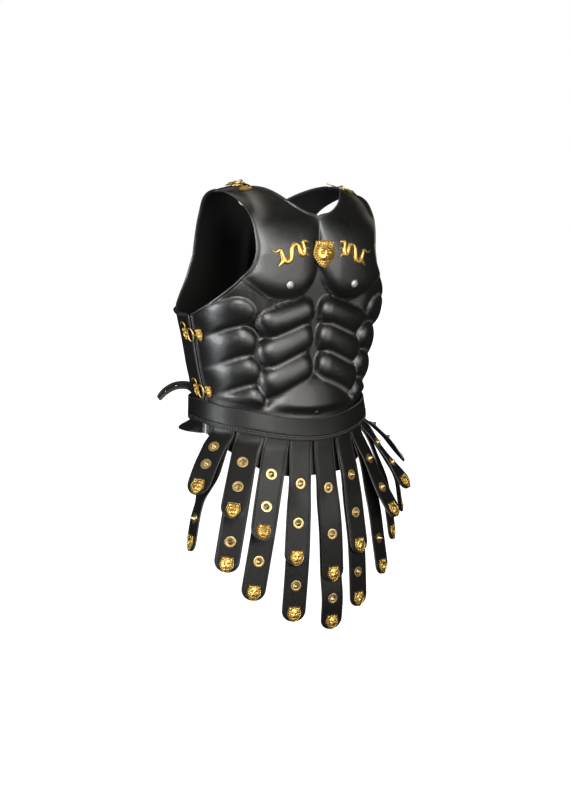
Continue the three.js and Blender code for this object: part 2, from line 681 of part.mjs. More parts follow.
const SERPENT_LIMBS = [
  [{ w: -74, z: -120, half: 3 }, { w: -79, z: -127, half: 2.4 }, { w: -83.5, z: -132, half: 0.7 }], // fin
  [{ w: -42, z: -105, half: 2 }, { w: -36, z: -103, half: 1.5 }, { w: -31, z: -104, half: 0.7 }], // claws
  [{ w: -42, z: -112, half: 2 }, { w: -36, z: -113.5, half: 1.5 }, { w: -31, z: -117, half: 0.7 }],
];

/** Raised relief that follows the chest along a path of {w, z, half}. */
function relief(path, mirror) {
  const on = (w, z, lift) => {
    const level = levelAt(angleOf(w), z);
    const frame = frameOn(frontSkin, angleOf(w) * mirror, level, lift);
    return frame.origin;
  };
  const last = path.length - 1;
  return sweep(path.map((p, i) => {
    const [a, b] = [path[Math.max(i - 1, 0)], path[Math.min(i + 1, last)]];
    const length = Math.hypot(b.w - a.w, b.z - a.z);
    const [nw, nz] = [-(b.z - a.z) / length, (b.w - a.w) / length];
    const at = (side, lift) => on(p.w + side * p.half * nw, p.z + side * p.half * nz, lift);
    return [at(-1, GAP + 0.3), at(1, GAP + 0.3), at(0.6, 1.8 + p.half * 0.35), at(-0.6, 1.8 + p.half * 0.35)];
  }));
}

/** Level on the body at an angle where the surface has height z. */
function levelAt(angle, z) {
  if (z <= DOME.level) return z;
  let [low, high] = [DOME.level, CREST];
  for (const _ of range(30)) {
    const middle = (low + high) / 2;
    if (torso(angle, middle).z < z) low = middle;
    else high = middle;
  }
  return low;
}

const serpent = (mirror) => join(relief(SERPENT, mirror), ...SERPENT_LIMBS.map((limb) => relief(limb, mirror)));

function nippleStud(side) {
  const { radius, height } = NIPPLE;
  const [edge, top] = [[0.75 * radius, 0.72 * height], [0.36 * radius, 0.95 * height]];
  const profile = [[0, 0], [radius, 0], [radius, 1], edge, top];
  const dome = turned([...profile, [0, height]], 10);
  return placed(dome, frameOn(frontSkin, side * angleOf(66), -163, GAP + 0.5));
}

// ---------------------------------------------------------------- clasps
/** Frame over a seam: x runs from the back plate to the front plate, y along the seam, z outward. */
function seamFrame(from, to, along) {
  const across = to.origin.clone().sub(from.origin).normalize();
  const out = from.out.clone().add(to.out).addScaledVector(across, 0).normalize();
  const up = out.clone().cross(across).normalize();
  if (up.dot(along) < 0) up.negate();
  const side = up.clone().cross(out).normalize();
  const origin = from.origin.clone().add(to.origin).multiplyScalar(0.5);
  return { origin, out, side, up };
}

/**
 * One fastening: a front lion mask with the oval ring, and a back lion mask with the hook that holds it.
 * `front` and `back` are the frames of the two masks; `along` is roughly the direction of the seam.
 */
function clasp(front, back, along, lift) {
  const seam = seamFrame(back, front, along);
  const facing = Math.sign(seam.side.clone().dot(front.origin.clone().sub(back.origin)));
  const upright = (frame) => {
    const up = seam.up.clone().addScaledVector(frame.out, -seam.up.dot(frame.out)).normalize();
    return { ...frame, up, side: up.clone().cross(frame.out).normalize() };
  };
  const [frontSeat, backSeat] = [upright(front), upright(back)];
  const onSeam = (u, v, h) =>
    seam.origin.clone().addScaledVector(seam.side, facing * u).addScaledVector(seam.up, v)
      .addScaledVector(seam.out, h + lift);
  const count = 8;
  const ring = range(count).map((k) => {
    const t = (2 * Math.PI * k) / count;
    return onSeam(CLASP.ringWidth * Math.cos(t), CLASP.ringHeight * Math.sin(t), 4);
  });
  const mask = lionMask(CLASP);
  const frontMask = placed(mask, frontSeat);
  const backMask = placed(mask, backSeat);
  const lug = wire([onSeam(CLASP.ringWidth - 0.3, 0, 4), frontSeat.origin.clone().addScaledVector(front.out, 2.4)], 1.5);
  const heart = backSeat.origin.clone().addScaledVector(back.out, 2.4);
  const hook = wire(
    [heart, onSeam(-10.4, 0, 6.2), onSeam(-7.4, 0, 7.6), onSeam(-4.4, 0, 6.2), onSeam(-3.8, 0, 3.4)], CLASP.hook,
  );
  const curlPoints = [[3, 5, 3], [6, 12, 3.4], [5, 19, 3.6], [-1.5, 21.5, 3.8], [-5, 16.5, 3.6]];
  const curl = wire(
    curlPoints.map(([u, v, h]) =>
      backSeat.origin.clone().addScaledVector(seam.side, facing * u).addScaledVector(backSeat.up, v)
        .addScaledVector(back.out, h)),
    CLASP.hook,
  );
  return { front: join(frontMask, lug, wire(ring, CLASP.wire, 4, true)), back: join(backMask, hook, curl) };
}

const SIDE_CLASPS = [
  { name: "upper", z: -247 },
  { name: "lower", z: -344 },
];

// ---------------------------------------------------------------- apron of straps
// Root angle on the belt, sideways lean of the outer and inner strap, turn about its own length (degrees),
// how far it stands out against its row of HANG, and that row.
const PAIRS = [
  { angle: -71.8, lean: -7, innerLean: -7, turn: -10, innerTurn: -45, flare: 0.94, hang: 4 },
  { angle: -56.2, lean: -11.8, innerLean: -9.7, turn: 0, innerTurn: 0, flare: 1, hang: 3 },
  { angle: -37.6, lean: -17, innerLean: -12.6, turn: 0, innerTurn: 0, flare: 1, hang: 2 },
  { angle: -18.4, lean: -7.3, innerLean: -5.7, turn: -12, innerTurn: -12, flare: 1, hang: 1 },
  { angle: 4.5, lean: 0.6, innerLean: 0.3, turn: -10, innerTurn: -10, flare: 1, hang: 0 },
  { angle: 27.6, lean: 1, innerLean: 1, turn: -6, innerTurn: -6, flare: 1.2, hang: 1 },
  { angle: 45.5, lean: 1, innerLean: 1, turn: -8, innerTurn: -6, flare: 1.18, hang: 2 },
  { angle: 61.6, lean: 1, innerLean: 1, turn: -20, innerTurn: -12, flare: 1, hang: 3 },
  { angle: 77, lean: 0, innerLean: 0, turn: -10, innerTurn: -10, flare: 1.04, hang: 4 },
];
const TURN = { from: 62, to: 120 }; // drops between which a strap takes its turn, clear of the plate's hem
// How the straps hang: mm out from the body and mm below the belt at each fitting, the last one the plaque.
const HANG = [
  {
    outer: [[15, 82.6], [25, 162.8], [28, 231.8]],
    inner: [[11.5, 82.6], [21, 162.8], [24, 231.8], [28, 277], [25, 319]],
  },
  {
    outer: [[17, 70.8], [25, 137], [32, 194]],
    inner: [[13, 70.8], [21, 137], [27, 194], [29, 244], [30, 292]],
  },
  {
    outer: [[25, 56], [46, 106], [65, 143.7]],
    inner: [[18, 58], [28, 110], [35, 150], [41, 199.5], [47, 249.8]],
  },
  {
    outer: [[32, 43.5], [59, 79.5], [83, 114]],
    inner: [[22, 45.5], [36, 83.5], [48, 126], [56, 172.5], [61, 209]],
  },
  {
    outer: [[31, 28.7], [57, 54.3], [82, 88.5]],
    inner: [[20, 30.7], [38, 61.3], [60, 102.5], [79, 142], [85, 182.5]],
  },
];
const LAYER = { inner: STRIP.seat + STRIP.thick / 2, outer: STRIP.seat + GAP + 1.5 * STRIP.thick };

/** One strap of the apron: its body, and frames for the fittings on its face. */
function strap(pair, layer) {
  const bottom = beltBottom(pair.angle);
  const root = frameOn(torso, pair.angle, bottom);
  const out = V(root.out.x, root.out.y, 0).normalize();
  const tangent = V(-out.y, out.x, 0);
  const nodes = HANG[pair.hang][layer];
  const offset = LAYER[layer];
  const drops = [-STRIP.tuck, 0, ...nodes.map((n) => n[1])];
  const outs = [offset, offset, ...nodes.map((n) => Math.max(n[0] * pair.flare, offset))];
  const reach = smooth(drops, outs);
  const end = nodes[nodes.length - 1];
  const beforeEnd = nodes[nodes.length - 2];
  const slope = (pair.flare * (end[0] - beforeEnd[0])) / (end[1] - beforeEnd[1]);
  const isOuter = layer === "outer";
  const lean = Math.tan(radians(isOuter ? pair.lean : pair.innerLean));
  const turn = radians(isOuter ? pair.turn : pair.innerTurn);
  const centre = (drop) => {
    const over = Math.max(drop - end[1], 0);
    const sideways = Math.max(drop, 0) * lean;
    return V(root.origin.x, root.origin.y, bottom - drop)
      .addScaledVector(out, reach(drop) + over * slope)
      .addScaledVector(tangent, sideways);
  };
  const frameAt = (drop) => {
    const down = centre(drop + 1).sub(centre(drop - 1)).normalize();
    const side = tangent.clone().addScaledVector(down, -tangent.dot(down)).normalize();
    side.applyAxisAngle(down, -turn * ramp(drop, TURN.from, TURN.to));
    return { origin: centre(drop), side, up: down.clone().negate(), out: side.clone().cross(down.clone().negate()) };
  };
  const tipDrop = STRIP.tip / Math.hypot(1, slope);
  const half = STRIP.width / 2;
  const count = (isOuter ? 4 : 6) * (Math.abs(turn) > 0.5 ? 2 : 1);
  const stations = [
    { drop: -STRIP.tuck, half },
    { drop: 2, half },
    { drop: 14, half },
    ...range(count).map((i) => ({ drop: lerp(14, end[1] - 2, (i + 1) / count), half })),
    { drop: end[1] + 0.6 * tipDrop, half: half * 0.78 },
    { drop: end[1] + tipDrop, half: half * 0.28 },
  ];
  const rings = stations.map(({ drop, half: h }) => {
    const frame = frameAt(drop);
    const hug = 1 - ramp(drop, 2, 26);
    const at = (s, t) => {
      const flat = frame.origin.clone().addScaledVector(frame.side, s * h).addScaledVector(frame.out, t);
      if (hug === 0) return flat;
      const angle = degrees(Math.atan2(flat.x, -flat.y));
      const wrapped = frameOn(torso, angle, flat.z, offset + t).origin;
      return flat.lerp(wrapped, hug);
    };
    const t = STRIP.thick / 2;
    return [at(0, -t), at(1, -t), at(1, t), at(0, t), at(-1, t), at(-1, -t)];
  });
  const fittings = nodes.map((n) => {
    const frame = frameAt(n[1]);
    frame.origin.addScaledVector(frame.out, STRIP.thick / 2);
    return frame;
  });
  return { solid: sweep(rings), fittings };
}

const studProfile = [
  [0, -1], [STUD.radius, -1], [STUD.radius, STUD.rim], [STUD.cone, STUD.rim], [0, STUD.height],
];

function apron(add) {
  PAIRS.forEach((pair, i) => {
    for (const layer of ["outer", "inner"]) {
      const { solid, fittings } = strap(pair, layer);
      const studs = layer === "outer" ? fittings.slice(0, 2) : fittings.slice(3, 4);
      const stud = turned(studProfile, 8);
      add(`${layer}_strap_${i + 1}`, join(solid, ...studs.map((frame) => placed(stud, frame))), "leather");
      const seat = fittings[fittings.length - 1];
      seat.origin.addScaledVector(seat.out, GAP);
      add(`${layer}_plaque_${i + 1}`, placed(lionMask(PLAQUE), seat), "brass");
    }
  });
}

// ---------------------------------------------------------------- the cuirass
const MATERIALS = {
  leather: new THREE.MeshStandardMaterial({ name: "black_leather", color: 0x17181b, roughness: 0.38, metalness: 0 }),
  brass: new THREE.MeshStandardMaterial({ name: "cast_brass", color: 0xc9a24a, roughness: 0.35, metalness: 1 }),
  steel: new THREE.MeshStandardMaterial({ name: "polished_steel", color: 0xb9bcc0, roughness: 0.3, metalness: 1 }),
};

const cuirass = new THREE.Group();
cuirass.name = "muscle_cuirass";
function add(name, geometry, material) {
  const mesh = new THREE.Mesh(geometry, MATERIALS[material]);
  mesh.name = name;
  cuirass.add(mesh);
}

add("breastplate", breastplate(), "leather");
add("backplate", backplate(), "leather");
add("belt", belt(), "leather");
add("belt_tongue", beltTongue(), "leather");
add("belt_buckle", backBuckle(), "brass");

add("lion_boss", lionBoss(), "brass");
for (const [name, side] of [["right", -1], ["left", 1]]) {
  add(`serpent_${name}`, serpent(-side), "brass");
  add(`nipple_stud_${name}`, nippleStud(side), "steel");
  for (const { name: place, z } of SIDE_CLASPS) {
    const front = frameOn(frontSkin, side * 79.6, z, GAP + 1.7);
    const back = frameOn(backSkin, side * 91, z, GAP + 0.9);
    const pair = clasp(front, back, V(0, 0, 1), 0.3);
    add(`clasp_${place}_${name}_front`, pair.front, "brass");
    add(`clasp_${place}_${name}_back`, pair.back, "brass");
  }
  const front = frameOn(frontSkin, side * 44, 20, GAP + 1);
  const back = frameOn(backSkin, side * 122, 65, GAP + 1);
  const pair = clasp(front, back, V(-side, 0, 0), 0.3);
  add(`clasp_shoulder_${name}_front`, pair.front, "brass");
  add(`clasp_shoulder_${name}_back`, pair.back, "brass");
}
apron(add);

export default cuirass;
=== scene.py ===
import json
import logging
import math
from bisect import bisect_right
from collections.abc import Callable, Iterable, Sequence
from dataclasses import dataclass, field
from enum import Enum

import bmesh
import bpy
from mathutils import Matrix, Vector
from mathutils.kdtree import KDTree

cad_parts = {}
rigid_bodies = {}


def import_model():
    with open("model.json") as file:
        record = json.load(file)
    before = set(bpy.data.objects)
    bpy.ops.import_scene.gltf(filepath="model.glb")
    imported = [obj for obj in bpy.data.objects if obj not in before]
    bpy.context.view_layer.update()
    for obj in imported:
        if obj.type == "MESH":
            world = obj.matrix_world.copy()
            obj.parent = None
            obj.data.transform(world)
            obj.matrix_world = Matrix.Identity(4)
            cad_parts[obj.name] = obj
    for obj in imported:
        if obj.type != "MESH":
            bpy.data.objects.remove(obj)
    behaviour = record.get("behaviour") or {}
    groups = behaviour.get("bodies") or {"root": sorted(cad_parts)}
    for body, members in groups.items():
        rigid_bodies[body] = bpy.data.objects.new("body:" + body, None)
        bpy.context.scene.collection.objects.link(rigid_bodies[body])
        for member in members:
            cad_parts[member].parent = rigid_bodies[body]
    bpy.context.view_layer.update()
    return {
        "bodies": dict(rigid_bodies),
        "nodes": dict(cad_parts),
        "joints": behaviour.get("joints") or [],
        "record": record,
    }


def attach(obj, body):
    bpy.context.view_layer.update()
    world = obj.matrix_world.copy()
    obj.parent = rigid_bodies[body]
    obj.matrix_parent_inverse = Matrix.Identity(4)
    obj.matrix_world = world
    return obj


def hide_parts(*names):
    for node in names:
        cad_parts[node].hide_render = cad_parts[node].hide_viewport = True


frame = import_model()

# Muscle cuirass: moulded leather breastplate and backplate, waist belt, and an apron of studded straps.
# Sizes are in millimetres until a mesh is finished. +Z is up and the wearer's front faces -Y.
# A place on the body is an angle round the z axis (0 front, 90 the wearer's left, 180 back) and a level.
LOG = logging.getLogger("cuirass")
METRE = 0.001
GAP = 0.3


# ---------------------------------------------------------------- numbers
def clamp(value: float, low: float, high: float) -> float:
    """Value held between low and high."""
    return min(max(value, low), high)


def lerp(a: float, b: float, t: float) -> float:
    """Straight mix from a to b."""
    return a + (b - a) * t


def ramp(value: float, start: float, end: float) -> float:
    """Smooth step from 0 at start to 1 at end; start may be above end."""
    t = clamp((value - start) / (end - start), 0.0, 1.0)
    return t * t * (3.0 - 2.0 * t)


def hump(value: float, middle: float, width: float) -> float:
    """Bell curve of height 1."""
    return math.exp(-(((value - middle) / width) ** 2))


def round_off(t: float) -> float:
    """Quarter-circle rise from 0 to 1."""
    return math.sqrt(max(0.0, 1.0 - (1.0 - clamp(t, 0.0, 1.0)) ** 2))


class Curve:
    """A curve through a table that never overshoots (monotone cubic), held level outside it."""

    def __init__(self, xs: Sequence[float], ys: Sequence[float]) -> None:
        """Works out the slope at each position.

        Args:
            xs: rising positions.
            ys: the value at each.
        """
        steps = [(b - a) / (q - p) for a, b, p, q in zip(ys, ys[1:], xs, xs[1:])]
        inner = [0.0 if a * b <= 0 else 2 * a * b / (a + b) for a, b in zip(steps, steps[1:])]
        self.xs, self.ys = list(xs), list(ys)
        self.slopes = [steps[0], *inner, steps[-1]]

    def __call__(self, x: float) -> float:
        """The curve's value.

        Args:
            x: a position, held inside the table.

        Returns:
            The value there.
        """
        xs = self.xs
        at = clamp(x, xs[0], xs[-1])
        i = clamp(bisect_right(xs, at) - 1, 0, len(xs) - 2)
        h = xs[i + 1] - xs[i]
        t = (at - xs[i]) / h
        s = 1.0 - t
        ends = s * s * (1 + 2 * t) * self.ys[i] + t * t * (1 + 2 * s) * self.ys[i + 1]
        return ends + h * t * s * (s * self.slopes[i] - t * self.slopes[i + 1])


@dataclass(frozen=True)
class Seat:
    """A place on a surface: a point with its sideways, upward and outward directions."""

    origin: Vector
    side: Vector
    up: Vector
    out: Vector

    def at(self, x: float = 0.0, y: float = 0.0, z: float = 0.0) -> Vector:
        """A point given sideways, upward and outward from the seat."""
        return self.origin + self.side * x + self.up * y + self.out * z

    def matrix(self) -> Matrix:
        """Transform from the seat's own axes to the row frame."""
        turn = Matrix((self.side, self.up, self.out)).transposed().to_4x4()
        return Matrix.Translation(self.origin) @ turn


Surface = Callable[[float, float], Vector]


# ---------------------------------------------------------------- the body the plates are moulded to
@dataclass(frozen=True)
class Section:
    """A level section: half width, depth in front and behind, and how square each half is."""

    z: float
    half_width: float
    front: float
    back: float
    front_square: float
    back_square: float


@dataclass(frozen=True)
class Torso:
    """The plain body surface: level sections below the armpits, closing like a dome over the shoulders."""

    sections: tuple[Section, ...] = (
        Section(-500, 182, 123, 124, 2.15, 2.2),
        Section(-440, 170, 118, 114, 2.15, 2.2),
        Section(-400, 165, 115, 107, 2.15, 2.2),
        Section(-355, 167, 111.5, 105, 2.3, 2.2),
        Section(-297, 180, 110.5, 102, 2.4, 2.2),
        Section(-254, 188, 112, 105, 2.5, 2.2),
        Section(-215, 197, 115.5, 108, 2.7, 2.2),
        Section(-160, 205, 121, 102, 3.0, 2.15),
        Section(-114, 206, 124, 93, 3.0, 2.1),
    )
    dome_level: float = -114
    dome_span: float = 180
    dome_rise: float = 128
    dome_half_width: float = 172
    ridge_y: float = -25
    front_round: float = 2.15
    back_round: float = 2.0
    fall: float = 21
    collar: float = 7
    collar_span: float = 64

    def __post_init__(self) -> None:
        """Draws one smooth curve through each column of the sections."""
        levels = [s.z for s in self.sections]
        for name in ("half_width", "front", "back", "front_square", "back_square"):
            curve = Curve(levels, [getattr(s, name) for s in self.sections])
            object.__setattr__(self, f"{name}_at", curve)

    @property
    def crest(self) -> float:
        """The level of the ridge over the shoulders; past it a level comes down the front again."""
        return self.dome_level + self.dome_span

    def point(self, angle: float, level: float) -> Vector:
        """The plain surface at a place.

        Args:
            angle: degrees round the body.
            level: level on the body; past the crest it comes down the front.

        Returns:
            The point.
        """
        turn = math.radians(angle)
        if level <= self.crest:
            return self._section_point(turn, level)
        x = self._section_point(turn, self.crest).x
        depth = self.front_at(self.dome_level)
        square = self.front_square_at(self.dome_level)
        y = depth * (1 - min(abs(x) / self.dome_half_width, 1) ** square) ** (1 / square)
        return self._section_point(math.atan2(x, y), 2 * self.crest - level)

    def _section_point(self, turn: float, level: float) -> Vector:
        """The plain surface below the crest.

        Args:
            turn: radians round the body.
            level: level up to the crest.

        Returns:
            The point.
        """
        z = min(level, self.dome_level)
        in_front = math.cos(turn) > 0
        phi = clamp((level - self.dome_level) / self.dome_span, 0, 1) * math.pi / 2
        half_width = lerp(self.dome_half_width, self.half_width_at(z), math.cos(phi))
        collar = self.collar * ramp(level, self.dome_level, self.dome_level + self.collar_span)
        front = self.front_at(z) + collar
        depth = front if in_front else self.back_at(z)
        square = self.front_square_at(z) if in_front else self.back_square_at(z)
        power = 2 / (self.front_round if in_front else self.back_round)
        forward, sideways = abs(math.cos(turn) / depth), abs(math.sin(turn) / half_width)
        reach = (forward ** square + sideways ** square) ** (-1 / square)
        across = max(math.cos(phi), 0.0) ** power
        up = math.sin(phi) ** power
        x = reach * math.sin(turn)
        y = lerp(self.ridge_y, -reach * math.cos(turn), across)
        if level <= self.dome_level:
            return Vector((x, y, level))
        return Vector((x, y, self.dome_level + self.dome_rise * up - self.fall * (x / 150) ** 2 * up * up))

    def level_at(self, angle: float, z: float) -> float:
        """The level at which the surface has a height.

        Args:
            angle: degrees round the body.
            z: the height.

        Returns:
            The level, found by halving.
        """
        if z <= self.dome_level:
            return z
        low, high = self.dome_level, self.crest
        for _ in range(24):
            middle = (low + high) / 2
            low, high = (middle, high) if self.point(angle, middle).z < z else (low, middle)
        return low


TORSO = Torso()


def seat_on(surface: Surface, angle: float, level: float, lift: float = 0.0) -> Seat:
    """The seat on a surface at a place.

    Args:
        surface: the surface it sits on.
        angle: degrees round the body.
        level: level on the body.
        lift: distance out from the surface.

    Returns:
        Point, sideways (towards the wearer's left in front), upward and outward directions.
    """
    step = 0.05
    side = (surface(angle + step, level) - surface(angle - step, level)).normalized()
    rise = surface(angle, level + step) - surface(angle, level - step)
    out = side.cross(rise).normalized()
    origin = surface(angle, level)
    inside = Vector((origin.x * 0.6, -15, min(origin.z, TORSO.dome_level) - 20))
    if out.dot(origin - inside) < 0:
        out.negate()
    return Seat(origin + out * lift, side, out.cross(side).normalized(), out)


def girth(angle: float) -> float:
    """Distance round the body from the centre front."""
    return 150 * math.radians(angle) - 15 * math.sin(2 * math.radians(angle))


_TURNS = [2 * i for i in range(-60, 61)]
angle_of = Curve([girth(a) for a in _TURNS], _TURNS)

HEM_FRONT = Curve([0, 25, 45, 57, 66, 79, 90], [-492, -490, -478, -460, -446, -425, -408])
HEM_BACK = Curve([80, 90, 100, 115, 130, 180], [-416, -419, -420.5, -420, -418, -416])


# ---------------------------------------------------------------- muscles
@dataclass(frozen=True)
class Pillow:
    """A bolster-shaped muscle between two places: girth from the centre and height."""

    w1: float
    z1: float
    w2: float
    z2: float
    radius: float
    rise: float

    def away(self, w: float, z: float) -> float:
        """Distance from the bolster's centre line.

        Args:
            w: girth from the centre.
            z: height.

        Returns:
            The distance as a share of the radius.
        """
        dw, dz = self.w2 - self.w1, self.z2 - self.z1
        t = clamp(((w - self.w1) * dw + (z - self.z1) * dz) / (dw * dw + dz * dz), 0, 1)
        return math.hypot(w - self.w1 - t * dw, z - self.z1 - t * dz) / self.radius


@dataclass(frozen=True)
class FrontMuscles:
    """Relief of the breastplate over the plain body."""

    pillows: tuple[Pillow, ...] = (
        Pillow(28, -210.5, 89, -229.6, 25, 8.5),  # stomach
        Pillow(30, -255, 89, -279, 27.5, 8.5),
        Pillow(30.5, -305.3, 87, -328, 28, 8.5),
        Pillow(140, -208, 215, -232, 24, 7.5),  # flank
        Pillow(140, -259, 213, -284, 27, 7.5),
        Pillow(135, -308, 212, -333, 27, 7.5),
        Pillow(128, -358, 212, -382, 27, 7.5),
    )
    sink: float = 8.0
    belly_z: float = -405
    belly_half_width: float = 112
    belly_half_height: float = 88
    belly_rise: float = 8.5
    chest_rise: float = 9.5
    chest_edge: float = 34
    sternum: float = 44
    groove: float = 10
    arm_fade: float = 50
    belt_fade: tuple[float, float] = (5, 22)  # above the belt
    side_fade: tuple[float, float] = (214, 152)  # girth
    navel_z: float = -385
    arm_edge: Curve = field(
        default_factory=lambda: Curve(
            [-208, -195, -174, -149, -126, -102, -72, -37, 0], [207, 181, 154, 131, 117, 112.6, 113, 117, 126]
        )
    )
    lower_edge: Curve = field(
        default_factory=lambda: Curve(
            [0, 6, 12, 20, 30, 42, 55, 68, 79, 95, 105, 117, 126, 150],
            [-139, -152, -163, -173, -181, -187.5, -190.5, -191.5, -191, -185, -178, -167, -158, -132],
        )
    )

    def sunk(self, w: float, z: float) -> float:
        """Depth of the flat leather between the muscles, which ends short of the plate's edges."""
        side = lerp(ramp(w, 212, 155), ramp(w, 112, 75), ramp(z, -245, -205))
        return self.sink * side * lerp(1.0, 0.45, ramp(z, -100, -50))

    def heights(self, w: float, z: float) -> list[float]:
        """Heights of all that lies at a place.

        Args:
            w: girth from the centre.
            z: height.

        Returns:
            The heights over the plain body, highest first.
        """
        sunk = self.sunk(w, z)
        found = [-sunk, -sunk]
        inner = round_off(w / self.groove)
        for pillow in self.pillows:
            away = pillow.away(w, z)
            if away < 1:
                found.append((pillow.rise + sunk) * math.sqrt(1 - away * away) * inner - sunk)
        belly = math.hypot(w / self.belly_half_width, (z - self.belly_z) / self.belly_half_height)
        if belly < 1:
            found.append((self.belly_rise + sunk) * math.sqrt(1 - belly * belly) - sunk)
        over = z - self.lower_edge(w)
        if over > 0:
            outer = lerp(0.25, 1.0, round_off((self.arm_edge(z) - w) / self.arm_fade))
            top = self.chest_rise * ramp(z, -40, -115) * outer
            breast = round_off(over / self.chest_edge) * round_off(w / self.sternum)
            found.append((top + sunk) * breast - sunk)
        return sorted(found, reverse=True)

    def relief(self, angle: float, z: float) -> tuple[float, float]:
        """The relief at a place.

        Args:
            angle: degrees round the body.
            z: height.

        Returns:
            Height of the relief, and how close the place is to a crease, from 0 to 1.
        """
        w = abs(girth(angle))
        first, second = self.heights(w, z)[:2]
        sunk = self.sunk(w, z)
        above = [belt_top(angle) + height for height in self.belt_fade]
        fade = ramp(z, *above) * ramp(w, *self.side_fade)
        crease = hump(first - second, 0, 2.0) * ramp(first + sunk, 0.05, 0.8) * fade
        return first * fade, crease


@dataclass(frozen=True)
class Mound:
    """A smooth rise: girth from the spine and height of its top, its reach both ways, and how high it is."""

    w: float
    z: float
    width: float
    length: float
    rise: float

    def over(self, w: float, z: float) -> float:
        """Its height at a place."""
        return self.rise * hump(w, self.w, self.width) * hump(z, self.z, self.length)


@dataclass(frozen=True)
class BackMuscles:
    """Relief of the backplate: blades, spine groove, and the flange that turns out below the belt."""

    mounds: tuple[Mound, ...] = (
        Mound(62, -130, 40, 58, 7.5),  # blade
        Mound(120, -215, 42, 60, 4.0),  # side of the back
        Mound(34, -320, 24, 62, 4.0),  # loin
    )
    spine: float = 4.5
    spine_width: float = 11
    flange: float = 22
    flange_z: float = -400
    flange_drop: float = 18

    def relief(self, angle: float, z: float) -> tuple[float, float]:
        """The relief at a place.

        Args:
            angle: degrees round the body.
            z: height.

        Returns:
            Height of the relief, and a crease of 0.
        """
        w = abs(girth(180 - abs(angle)))
        spine = -self.spine * hump(w, 0, self.spine_width) * ramp(z, -400, -350) * ramp(z, -50, -90)
        below = clamp((self.flange_z - z) / self.flange_drop, 0, 1)
        flange = self.flange * below * ramp(abs(180 - abs(angle)), 92, 72)
        keep = ramp(z, -398, -350)
        return sum(mound.over(w, z) for mound in self.mounds) * keep + spine + flange, 0.0


def belt_top(angle: float) -> float:
    """Upper edge of the belt: level round the back and flanks, dipping at the front."""
    return -358 - 36 * max(math.cos(math.radians(angle)), 0.0) ** 1.2


def raised(relief: Callable[[float, float], tuple[float, float]]) -> Surface:
    """The body surface with a relief on it.

    Args:
        relief: height and crease at an angle and a height.

    Returns:
        The raised surface.
    """

    def skin(angle: float, level: float) -> Vector:
        """The raised surface at an angle and a level."""
        seat = seat_on(TORSO.point, angle, level)
        return seat.at(z=relief(angle, seat.origin.z)[0])

    return skin


FRONT = FrontMuscles()
BACK = BackMuscles()
front_skin = raised(FRONT.relief)
back_skin = raised(BACK.relief)


# ---------------------------------------------------------------- meshes
def new_grid(columns: int, rows: int) -> bmesh.types.BMesh:
    """A flat grid of unit squares.

    Args:
        columns: squares along x.
        rows: squares along y.

    Returns:
        The grid, with vertex (i, j) at (i, j, 0).
    """
    bm = bmesh.new()
    bmesh.ops.create_grid(bm, x_segments=columns, y_segments=rows, size=0.5)
    bmesh.ops.translate(bm, vec=(0.5, 0.5, 0), verts=bm.verts)
    bmesh.ops.scale(bm, vec=(columns, rows, 1), verts=bm.verts)
    return bm


def spun(profile: Sequence[tuple[float, float]], steps: int) -> bmesh.types.BMesh:
    """A turned body round z.

    Args:
        profile: (radius, height) points that start and end on the axis.
        steps: steps of the turn.

    Returns:
        The closed mesh.
    """
    bm = bmesh.new()
    verts = [bm.verts.new((r, 0, z)) for r, z in profile]
    edges = [bm.edges.new(pair) for pair in zip(verts, verts[1:])]
    line = [*verts, *edges]
    bmesh.ops.spin(
        bm, geom=line, cent=(0, 0, 0), axis=(0, 0, 1), angle=2 * math.pi, steps=steps, use_merge=True
    )
    bmesh.ops.remove_doubles(bm, verts=bm.verts, dist=1e-4)
    bmesh.ops.recalc_face_normals(bm, faces=bm.faces)
    return bm


def tube(
    path: Sequence[Vector], radius: float, closed: bool = False, taper: Sequence[float] = ()
) -> bmesh.types.BMesh:
    """A round wire along a smooth path.

    Args:
        path: the points it passes through.
        radius: its radius.
        closed: whether the ends meet.
        taper: the radius at each point as a share of `radius`.

    Returns:
        The wire's closed mesh.
    """
    data = bpy.data.curves.new("wire", "CURVE")
    data.dimensions = "3D"
    data.bevel_depth = radius
    data.bevel_resolution = 3
    data.resolution_u = 6
    data.use_fill_caps = True
    spline = data.splines.new("BEZIER")
    spline.bezier_points.add(len(path) - 1)
    spline.use_cyclic_u = closed
    for i, point in enumerate(path):
        knot = spline.bezier_points[i]
        knot.co = point
        knot.handle_left_type = knot.handle_right_type = "AUTO"
        knot.radius = taper[i] if taper else 1.0
    holder = bpy.data.objects.new("wire", data)
    bpy.context.scene.collection.objects.link(holder)
    bpy.context.view_layer.update()
    mesh = bpy.data.meshes.new_from_object(holder.evaluated_get(bpy.context.evaluated_depsgraph_get()))
    bm = bmesh.new()
    bm.from_mesh(mesh)
    bpy.data.objects.remove(holder)
    bpy.data.curves.remove(data)
    bpy.data.meshes.remove(mesh)
    bmesh.ops.remove_doubles(bm, verts=bm.verts, dist=1e-4)
    bmesh.ops.recalc_face_normals(bm, faces=bm.faces)
    return bm


def placed(bm: bmesh.types.BMesh, seat: Seat) -> bmesh.types.BMesh:
    """The mesh moved from its own axes to a seat."""
    bmesh.ops.transform(bm, matrix=seat.matrix(), verts=bm.verts)
    return bm


def joined(*meshes: bmesh.types.BMesh) -> bmesh.types.BMesh:
    """One mesh that holds all the given ones.

    Args:
        meshes: the meshes, which are freed.

    Returns:
        The whole.
    """
    whole = bmesh.new()
    for bm in meshes:
        kept = bpy.data.meshes.new("part")
        bm.to_mesh(kept)
        whole.from_mesh(kept)
        bpy.data.meshes.remove(kept)
        bm.free()
    return whole


class Slot(Enum):
    """Material slots of the record."""

    LEATHER = "black_leather"
    BRASS = "cast_brass"
    STEEL = "polished_steel"


@dataclass
class Shelling:
    """How an open sheet is given its thickness."""

    thickness: float
    inner_slot: int = 0


